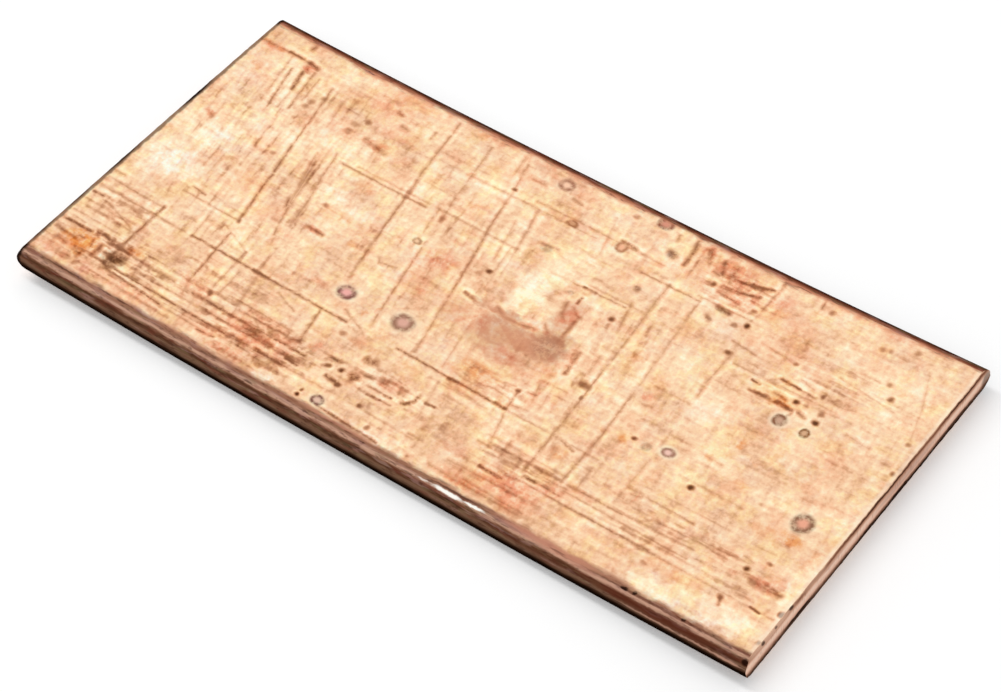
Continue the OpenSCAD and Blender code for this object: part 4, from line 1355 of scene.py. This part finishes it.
# %% Material helpers
def new_material(name):
    material = bpy.data.materials.new(name)
    material.use_nodes = True
    tree = material.node_tree
    return material, tree, tree.nodes["Principled BSDF"].inputs


def sheet_place(tree):
    """Millimetres on the flat sheet, x along and y across, with the height left out."""
    return vector(tree, "MULTIPLY", add(tree, "TexCoord").outputs["Object"], (1 / MM, 1 / MM, 0))


def stock_place(tree):
    """The measures that the mesh carries: along, past the upper face and height."""
    return add(tree, "Attribute", attribute_name="stock_mm").outputs["Vector"]


def rim_of(tree, place):
    across = add(tree, "SeparateXYZ", place).outputs[1]
    return use(tree, ROLLED_RIM, Stock=stock_place(tree), Across=across)


def relief_of(tree, height, depth, shader):
    """Turns a height in shares into a bump of this depth in millimetres."""
    bump = add(tree, "Bump", None, depth * MM, None, height)
    join(tree, bump.outputs["Normal"], shader["Normal"])


def tell(material):
    print("material:", material.name, "with", len(material.node_tree.nodes), "nodes")


# %% [markdown]
# ### Drops and ends
# A drop that dries pushes its dirt outwards, so it leaves a dark ring round a tinted inside, and often a
# clean halo. All three come from one distance to the middle of the drop. The two ends have lines of their
# own: the burr at the left end is dark, with painted shade on its edge, and a pale line of painted highlight
# runs where the corner that the blade pulled round at the right end starts.

# %% Drops and ends of the upper face
HALO_FROM, HALO_TO, HALO_SHARE, HALO_TONE = 1.7, 1.1, 0.7, (255, 243, 213)  # from and to in radii of the drop
RING_FROM, RING_TO, HEART_TO = 1.2, 0.72, 0.20  # radii, where the ring starts and ends and the inside is full
HEART_SHARE = 0.95
# Black places of painted shade on the burr's edge at the left end: x, y, reach in x, reach in y, strength
END_BLACK = [
    (-50.95, 7.8, 0.55, 3.8, 1.0), (-51.0, -6.0, 0.50, 4.5, 0.9), (-51.0, -14.0, 0.45, 3.5, 0.8),
    (-50.95, -20.5, 0.45, 3.5, 0.7),
]
END_BLACK_TONE = (34, 19, 13)
# The dark burr line at the left end: burr with painted shade on its edge
BURR_LINE, BURR_SWAY, BURR_FROM, BURR_TO = -50.72, 0.6, 0.22, -0.10  # mm along
BURR_SHARE, BURR_AND_SHADE_TONE = 0.80, (108, 76, 57)
# The pale line of painted highlight before the rolled-over corner at the right end
CREAM_FROM, CREAM_TO = 50.0, 50.4  # mm along
CREAM_SHARE, CREAM_HIGHLIGHT_TONE = 0.4, (254, 240, 218)


def drop_marks(tree, colour, place, stretch, broken):
    """Rings of dried drops, each with its own two tones and a pale halo."""
    for x, y, reach_x, reach_y, ring_tone, inner_tone, halo in DROPS:
        if touches(stretch, x - 2 * reach_x, x + 2 * reach_x):
            patch = use(tree, PATCH, Place=place, Centre=(x, y, 0), Reach=(reach_x, reach_y, 1))
            distance = patch["Distance"]
            if halo:
                clean = ease(tree, distance, HALO_FROM, HALO_TO)
                colour = stain(tree, colour, clean, HALO_SHARE * halo, HALO_TONE)
            ring = calc(tree, "MULTIPLY", ease(tree, distance, RING_FROM, RING_TO), broken)
            colour = stain(tree, colour, ring, 1.0, ring_tone)
            colour = stain(tree, colour, ease(tree, distance, RING_TO, HEART_TO), HEART_SHARE, inner_tone)
    return colour


def end_marks(tree, colour, place):
    """The dark burr line at the left end, with painted shade on the burr's edge, and the pale line of painted
    highlight before the rolled-over corner at the right end.
    """
    along, across = add(tree, "SeparateXYZ", place).outputs[:2]
    beside = add(tree, "CombineXYZ", 0.0, across, 0.0).outputs[0]
    line = clouds(tree, beside, scale=0.5, detail=3.0, roughness=0.6)[0]
    line = calc(tree, "MULTIPLY_ADD", line, BURR_SWAY, BURR_LINE)
    dark = ease(tree, calc(tree, "SUBTRACT", along, line), BURR_FROM, BURR_TO)
    colour = stain(tree, colour, dark, BURR_SHARE, BURR_AND_SHADE_TONE)
    colour = stain(tree, colour, patches(tree, place, END_BLACK), 1.0, END_BLACK_TONE)
    return stain(tree, colour, ease(tree, along, CREAM_FROM, CREAM_TO), CREAM_SHARE, CREAM_HIGHLIGHT_TONE)


# %% [markdown]
# ### How much oxide
# The amount of oxide starts from worn copper, a little browner towards the near edge, with more lines where
# they crowd and more rubbing where the sheet was wiped. Pale places take oxide away, and at the left end, in
# the middle and at the near right corner they are also painted highlight, the face's sheen; brown ones add
# some. A pit or a scratch is brown because dirt and oxide sit in it, so it moves the amount towards one
# depth, whatever was there before. Both sides of a scratch get a thin painted highlight, as a little less
# oxide.

# %% Oxide of the upper face
# How places are pushed about before marks are measured: reach and lump of each push, in millimetres
PUSHES = {
    "lumpy": [(1.0, 2.0), (0.45, 0.7)],
    "shaky": [(0.12, 0.9)],
    "gritty": [(0.16, 1.0)],
    "lobed": [(0.60, 1.3)],
}
PLAIN_OXIDE, NEAR_OXIDE = 0.365, 0.09  # all over, and what is added towards the near edge
NEAR_FROM, NEAR_TO = -5.0, -17.0  # mm across
STREAKED_LEAST, STREAKED_MORE = 0.35, 0.95
RUBBED_LEAST, RUBBED_MORE = 0.30, 0.70
# Pale places lower the oxide, both for cleaner copper and for painted highlight
CLEAN_AND_SHEEN_OXIDE, BROWN_OXIDE = -0.30, 0.40
PIT_CORE, PIT_OXIDE = 0.15, 1.34
# Strokes, the oxide in them, and how far their soft edge is drawn in
STROKE_KINDS = [(CROSS_STROKES, 1.02, 0.65), (LONG_STROKES, 1.10, 0.65), (BLOTS, 1.14, 0.0)]
# A stroke's lip is a thin painted highlight: a little less oxide between its outer and inner side
LIP_HIGHLIGHT, LIP_OUTSIDE, LIP_INSIDE = -0.07, (1.7, 1.05), (1.0, 0.5)  # the sides in half widths of the stroke


def pushed(tree, place, pushes):
    for reach, lump in pushes:
        place = use(tree, WOBBLE, Place=place, Reach=reach, Lump=lump)["Place"]
    return place


def worn_face(tree, place, places, stretch):
    """The wear of the whole face."""
    across = add(tree, "SeparateXYZ", place).outputs[1]
    busy = patches(tree, places["lumpy"], BUSY_PLACES, stretch) or 0.0
    rubbed = patches(tree, places["lumpy"], RUBBED_PLACES, stretch) or 0.0
    near = ease(tree, across, NEAR_FROM, NEAR_TO)
    plain = calc(tree, "MULTIPLY_ADD", near, NEAR_OXIDE, PLAIN_OXIDE)
    streaked = calc(tree, "MULTIPLY_ADD", busy, STREAKED_MORE, STREAKED_LEAST)
    rubbed = calc(tree, "MULTIPLY_ADD", rubbed, RUBBED_MORE, RUBBED_LEAST)
    return use(tree, WORN_COPPER, Place=places["shaky"], Plain=plain, Streaked=streaked, Rubbed=rubbed)


def towards(tree, amount, mask, oxide):
    """Moves an amount of oxide towards another where there is a mask."""
    return calc(tree, "MULTIPLY_ADD", mask, calc(tree, "SUBTRACT", oxide, amount), amount)


def clouded_amount(tree, amount, places, uneven, stretch):
    """Adds the pale places, the brown places and the pits."""
    pale = patches(tree, places["lumpy"], PALE_PLACES, stretch)
    if pale:
        amount = calc(tree, "MULTIPLY_ADD", pale, CLEAN_AND_SHEEN_OXIDE, amount)
    brown = patches(tree, places["lobed"], BROWN_PLACES, stretch)
    if brown:
        brown = calc(tree, "MULTIPLY", brown, uneven)
        amount = calc(tree, "MULTIPLY_ADD", brown, BROWN_OXIDE, amount)
    pitted = patches(tree, places["gritty"], PITS, stretch, PIT_CORE)
    return towards(tree, amount, pitted, PIT_OXIDE) if pitted else amount


def stroked_amount(tree, amount, place, broken, stretch):
    """Adds the scratches and blots, with the painted highlight of their lips."""
    for marks, oxide, drawn_in in STROKE_KINDS:
        distance = strokes(tree, place, marks, stretch)
        if distance:
            # the lip: a painted highlight along both sides of a stroke
            outside, inside = ease(tree, distance, *LIP_OUTSIDE), ease(tree, distance, *LIP_INSIDE)
            amount = calc(tree, "MULTIPLY_ADD", calc(tree, "SUBTRACT", outside, inside), LIP_HIGHLIGHT, amount)
            core = ease(tree, distance, 1.0, 0.0)
            if drawn_in:
                core = calc(tree, "MULTIPLY", core, calc(tree, "MULTIPLY_ADD", core, drawn_in, 1 - drawn_in))
            core = calc(tree, "MULTIPLY", core, broken)
            amount = towards(tree, amount, core, oxide)
    return amount


print("pushes:", list(PUSHES), "kinds of strokes:", len(STROKE_KINDS))

# %% [markdown]
# ### Upper face material
# The ramp turns the oxide into a colour, and the hues that oxide alone doesn't give come on top. The big
# stain in the middle is laid over flat, as a film that hides the metal. Salmon, pearl, orange and grey
# places multiply the colour instead, so that the texture under them stays; the pearl ones are partly painted
# highlight. Then come the drops, the ends with their painted shade and highlight, and the scale of the rim
# with its painted light and shade. Dirt is less of a metal and rougher than the face round it.

# %% Upper face
MOTTLE_SCALE = 0.9
UNEVEN_FROM, UNEVEN_TO, UNEVEN_LEAST = 0.34, 0.62, 0.35  # noise, and what is left of a place where it is thin
BROKEN_FROM, BROKEN_TO, BROKEN_LEAST = 0.34, 0.58, 0.5  # noise, and what is left of a stroke where it is thin
STAIN_CORE, STAIN_SHARE, STAIN_TONE = 0.55, 0.86, (209, 142, 109)
STAIN_LEAST = 0.65  # what counts of the stain where places are thinnest
# Places, tone on plain copper, share, how they are pushed, core
TINTED_PLACES = [
    (SALMON_PLACES, (236, 156, 118), 0.95, "lumpy", 0.15),
    (PEARL_PLACES, (240, 216, 198), 0.80, "lumpy", 0.15),
    (ORANGE_PLACES, (230, 150, 84), 1.0, "lobed", 0.3),
    (GREY_PLACES, (146, 112, 86), 0.95, "gritty", 0.35),
]
DIRT_FROM, DIRT_TO = 0.55, 1.1  # amounts of oxide
FACE_ROUGHNESS = 0.36
DIRT_ROUGHNESS, DIRT_METALLIC = 0.22, -0.9  # what dirt adds to the metal's own
FACE_RELIEF = 0.02  # mm


def tinted_colour(tree, colour, places, uneven, stretch):
    """Lays the stain and the places of other hues over the colour of the oxide."""
    film = calc(tree, "MULTIPLY_ADD", uneven, 1 - STAIN_LEAST, STAIN_LEAST)
    stained = patches(tree, places["lobed"], STAIN_PLACES, stretch, STAIN_CORE)
    if stained:
        colour = stain(tree, colour, calc(tree, "MULTIPLY", stained, film), STAIN_SHARE, STAIN_TONE)
    for marks, tone, share, push, core in TINTED_PLACES:
        mask = patches(tree, places[push], marks, stretch, core)
        if mask:
            colour = tint(tree, colour, calc(tree, "MULTIPLY", mask, uneven), share, tone)
    return colour


def upper_face_material(number, stretch):
    material, tree, shader = new_material(f"upper_face_copper_{number}")
    place = sheet_place(tree)
    places = {name: pushed(tree, place, pushes) for name, pushes in PUSHES.items()}
    mottle = clouds(tree, place, MOTTLE_SCALE, detail=3.0, roughness=0.7)[1]
    mottle = add(tree, "SeparateXYZ", mottle).outputs
    uneven = ease(tree, mottle[0], UNEVEN_FROM, UNEVEN_TO)
    uneven = calc(tree, "MULTIPLY_ADD", uneven, 1 - UNEVEN_LEAST, UNEVEN_LEAST)
    broken = ease(tree, mottle[1], BROKEN_FROM, BROKEN_TO)
    broken = calc(tree, "MULTIPLY_ADD", broken, 1 - BROKEN_LEAST, BROKEN_LEAST)

    worn = worn_face(tree, place, places, stretch)
    amount = clouded_amount(tree, worn["Amount"], places, uneven, stretch)
    amount = stroked_amount(tree, amount, places["shaky"], broken, stretch)
    colour = use(tree, OXIDE_COLOUR, Place=place, Amount=amount)["Color"]
    colour = tinted_colour(tree, colour, places, uneven, stretch)
    colour = drop_marks(tree, colour, places["shaky"], stretch, broken)
    colour = end_marks(tree, colour, place)

    rim = rim_of(tree, place)
    join(tree, blend(tree, rim["Mask"], colour, rim["Color"]), shader["Base Color"])
    dirt = calc(tree, "MAXIMUM", ease(tree, amount, DIRT_FROM, DIRT_TO), rim["Mask"])
    join(tree, calc(tree, "MULTIPLY_ADD", dirt, DIRT_METALLIC, 1.0), shader["Metallic"])
    join(tree, calc(tree, "MULTIPLY_ADD", dirt, DIRT_ROUGHNESS, FACE_ROUGHNESS), shader["Roughness"])
    shader["Specular IOR Level"].default_value = 0.0
    relief_of(tree, worn["Relief"], FACE_RELIEF, shader)
    return material


def stretch_of(number):
    """Where one stretch of the upper face starts and stops along the sheet."""
    return LENGTH * (number / STRETCHES - 0.5), LENGTH * ((number + 1) / STRETCHES - 0.5)


upper_finishes = [upper_face_material(number + 1, stretch_of(number)) for number in range(STRETCHES)]
for material in upper_finishes:
    tell(material)

# %% [markdown]
# ## The other three finishes
# The underside was never seen, so it gets the plain finish of such stock: the same metal and rolling lines,
# duller, with no marks of its own. The rolled edges are the rim's scale all over, with its painted light and
# shade. The cuts show the shear at work: a rolled-over corner, pale at the top with a painted highlight and
# then dark with a painted dark reflection, a pink band that the blade polished, and a torn brown band below
# it that darkens to its foot, partly painted shade.

# %% Underside
UNDERSIDE_ROUGHNESS = 0.4
SCALE_ROUGHNESS, SCALE_METALLIC = 0.2, -0.6  # what scale adds to the metal's own
UNDERSIDE_RELIEF = 0.02  # mm


def underside_material():
    material, tree, shader = new_material("underside_copper")
    place = sheet_place(tree)
    worn = use(tree, WORN_COPPER, Place=place, Plain=0.48, Streaked=0.7, Rubbed=0.4)
    colour = use(tree, OXIDE_COLOUR, Place=place, Amount=worn["Amount"])["Color"]
    rim = rim_of(tree, place)
    join(tree, blend(tree, rim["Mask"], colour, rim["Color"]), shader["Base Color"])
    join(tree, calc(tree, "MULTIPLY_ADD", rim["Mask"], SCALE_METALLIC, 1.0), shader["Metallic"])
    rough = calc(tree, "MULTIPLY_ADD", rim["Mask"], SCALE_ROUGHNESS, UNDERSIDE_ROUGHNESS)
    join(tree, rough, shader["Roughness"])
    relief_of(tree, worn["Relief"], UNDERSIDE_RELIEF, shader)
    return material


underside_finish = underside_material()
tell(underside_finish)

# %% Rolled edges
EDGE_LINE_SHARE, EDGE_LINE_TONE = 0.45, (56, 32, 22)
EDGE_ROUGHNESS = 0.5
EDGE_RELIEF = 0.03  # mm


def rolled_edge_material():
    material, tree, shader = new_material("rolled_edge_scale")
    rim = rim_of(tree, sheet_place(tree))
    drawn = use(tree, DRAWN_LINES, Place=rim["Place"], Length=5.0, Pitch=0.28, Cover=0.45)
    dark = calc(tree, "MULTIPLY", drawn["Lines"], calc(tree, "SUBTRACT", 1.0, rim["Glint"]))
    join(tree, stain(tree, rim["Color"], dark, EDGE_LINE_SHARE, EDGE_LINE_TONE), shader["Base Color"])
    join(tree, rim["Glint"], shader["Metallic"])
    shader["Roughness"].default_value = EDGE_ROUGHNESS
    shader["Specular IOR Level"].default_value = 0.0
    relief_of(tree, drawn["Grain"], EDGE_RELIEF, shader)
    return material


edge_finish = rolled_edge_material()
tell(edge_finish)

# %% Bands and marks of the sheared ends
# Heights on the cut: the torn band darkens to its foot partly as painted shade, the dark band from 2.76 to
# 2.86 is a painted dark reflection on the rolled-over corner, and the pale top is painted highlight
CUT_BANDS = [
    (0.0, (62, 40, 30)),
    (0.4, (104, 72, 56)),
    (0.7, (142, 102, 82)),
    (1.0, (194, 148, 124)),
    (1.3, (242, 194, 168)),
    (1.6, (252, 206, 180)),
    (2.0, (255, 220, 195)),
    (2.3, (250, 204, 178)),
    (2.6, (208, 158, 130)),
    (2.76, (148, 100, 76)),
    (2.86, (126, 78, 58)),
    (2.95, (190, 140, 112)),
    (3.0, (240, 200, 166)),
]
# Places on the cut: across, height, reach across, reach in height, strength
# Black places at the height of 2.86 are painted dark reflection on the rolled-over corner, and the long one
# at the foot is partly painted shade; the others are dark spots of the cut
CUT_BLACK = [
    (-14.6, 0.65, 3.4, 0.45, 1.0), (5.6, 0.6, 2.6, 0.45, 1.0), (-1.0, 0.55, 2.4, 0.35, 0.8),
    (8.0, 0.1, 17.0, 0.5, 0.9), (2.0, 2.86, 9.0, 0.10, 0.8), (19.0, 2.86, 5.0, 0.09, 0.8),
    (24.2, 1.5, 1.4, 1.4, 0.7), (18.0, 0.7, 6.0, 0.5, 0.7), (-16.0, 2.86, 0.5, 0.2, 0.9),
    (-21.5, 2.86, 0.4, 0.2, 0.9), (-19.0, 2.86, 0.3, 0.15, 0.7),
]
CUT_PALE = [(-20.0, 2.82, 5.6, 0.24, 0.9), (-11.5, 2.82, 3.0, 0.2, 0.5)]
CUT_MAROON = [(7.0, 2.0, 8.0, 0.7, 0.8), (-20.0, 1.2, 2.0, 0.4, 0.4), (-8.0, 2.3, 3.0, 0.3, 0.5)]
# Marks, share and tone, in the order in which they are laid on
CUT_MARKS = [
    (CUT_MAROON, 0.5, (150, 84, 68)),
    (CUT_PALE, 0.8, (236, 190, 162)),
    (CUT_BLACK, 0.9, (30, 14, 10)),
]
DRAG_TURN = math.radians(90)  # the blade dragged its lines up and down the cut
DRAG_SHARE, DRAG_TONE = 0.35, (120, 72, 54)
POLISHED_FROM, POLISHED_TO = 1.2, 1.6  # mm above the side away from the blade
TORN_ROUGHNESS = 0.62
POLISH_ROUGHNESS, POLISH_METALLIC = -0.25, 0.3  # what polish adds to the torn metal's own
CUT_RELIEF = 0.06  # mm
print("cuts:", len(CUT_BANDS), "bands and", sum(len(marks) for marks, _, _ in CUT_MARKS), "marks")


# %% Sheared end material
def sheared_end_material():
    material, tree, shader = new_material("sheared_end_copper")
    along, _, height = add(tree, "SeparateXYZ", stock_place(tree)).outputs
    right_end = calc(tree, "GREATER_THAN", along, 0.0)
    mirrored = calc(tree, "SUBTRACT", THICKNESS, height)
    depth = add(tree, "Mix", right_end, None, mirrored, height, data_type="FLOAT").outputs[0]
    across = add(tree, "SeparateXYZ", sheet_place(tree)).outputs[1]
    place = add(tree, "CombineXYZ", across, depth, 0.0).outputs[0]
    shaky = use(tree, WOBBLE, Place=place, Reach=0.12, Lump=5.0)["Place"]
    shaky = use(tree, WOBBLE, Place=shaky, Reach=0.06, Lump=0.8)["Place"]
    bands = colour_bands(tree, add(tree, "SeparateXYZ", shaky).outputs[1], 0.0, THICKNESS, CUT_BANDS)
    drag = use(tree, DRAWN_LINES, Place=place, Turn=DRAG_TURN, Length=1.6, Pitch=0.22, Cover=0.5)
    colour = stain(tree, bands, drag["Lines"], DRAG_SHARE, DRAG_TONE)
    for marks, share, tone in CUT_MARKS:
        colour = stain(tree, colour, patches(tree, shaky, marks), share, tone)
    join(tree, colour, shader["Base Color"])
    polished = ease(tree, depth, POLISHED_FROM, POLISHED_TO)
    rough = calc(tree, "MULTIPLY_ADD", polished, POLISH_ROUGHNESS, TORN_ROUGHNESS)
    join(tree, rough, shader["Roughness"])
    join(tree, calc(tree, "MULTIPLY", polished, POLISH_METALLIC), shader["Metallic"])
    shader["Specular IOR Level"].default_value = 0.0
    relief_of(tree, drag["Grain"], CUT_RELIEF, shader)
    return material


cut_finish = sheared_end_material()
tell(cut_finish)

# %% All finishes, in the order of their numbers
for material in (*upper_finishes, edge_finish, underside_finish, cut_finish):
    piece.data.materials.append(material)
print("finishes:", [material.name for material in piece.data.materials])

# %% [markdown]
# ## Check the size
# A finish must not change the size of the part. The box of the CAD solid and the box of this model are set
# side by side, and what the model has grown by is printed.

model_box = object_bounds()
model_size, cad_size = model_box[1] - model_box[0], cad_box[1] - cad_box[0]
grown = [round((model - cad) / MM, 3) for model, cad in zip(model_size, cad_size)]
print("grown by", grown, "mm")
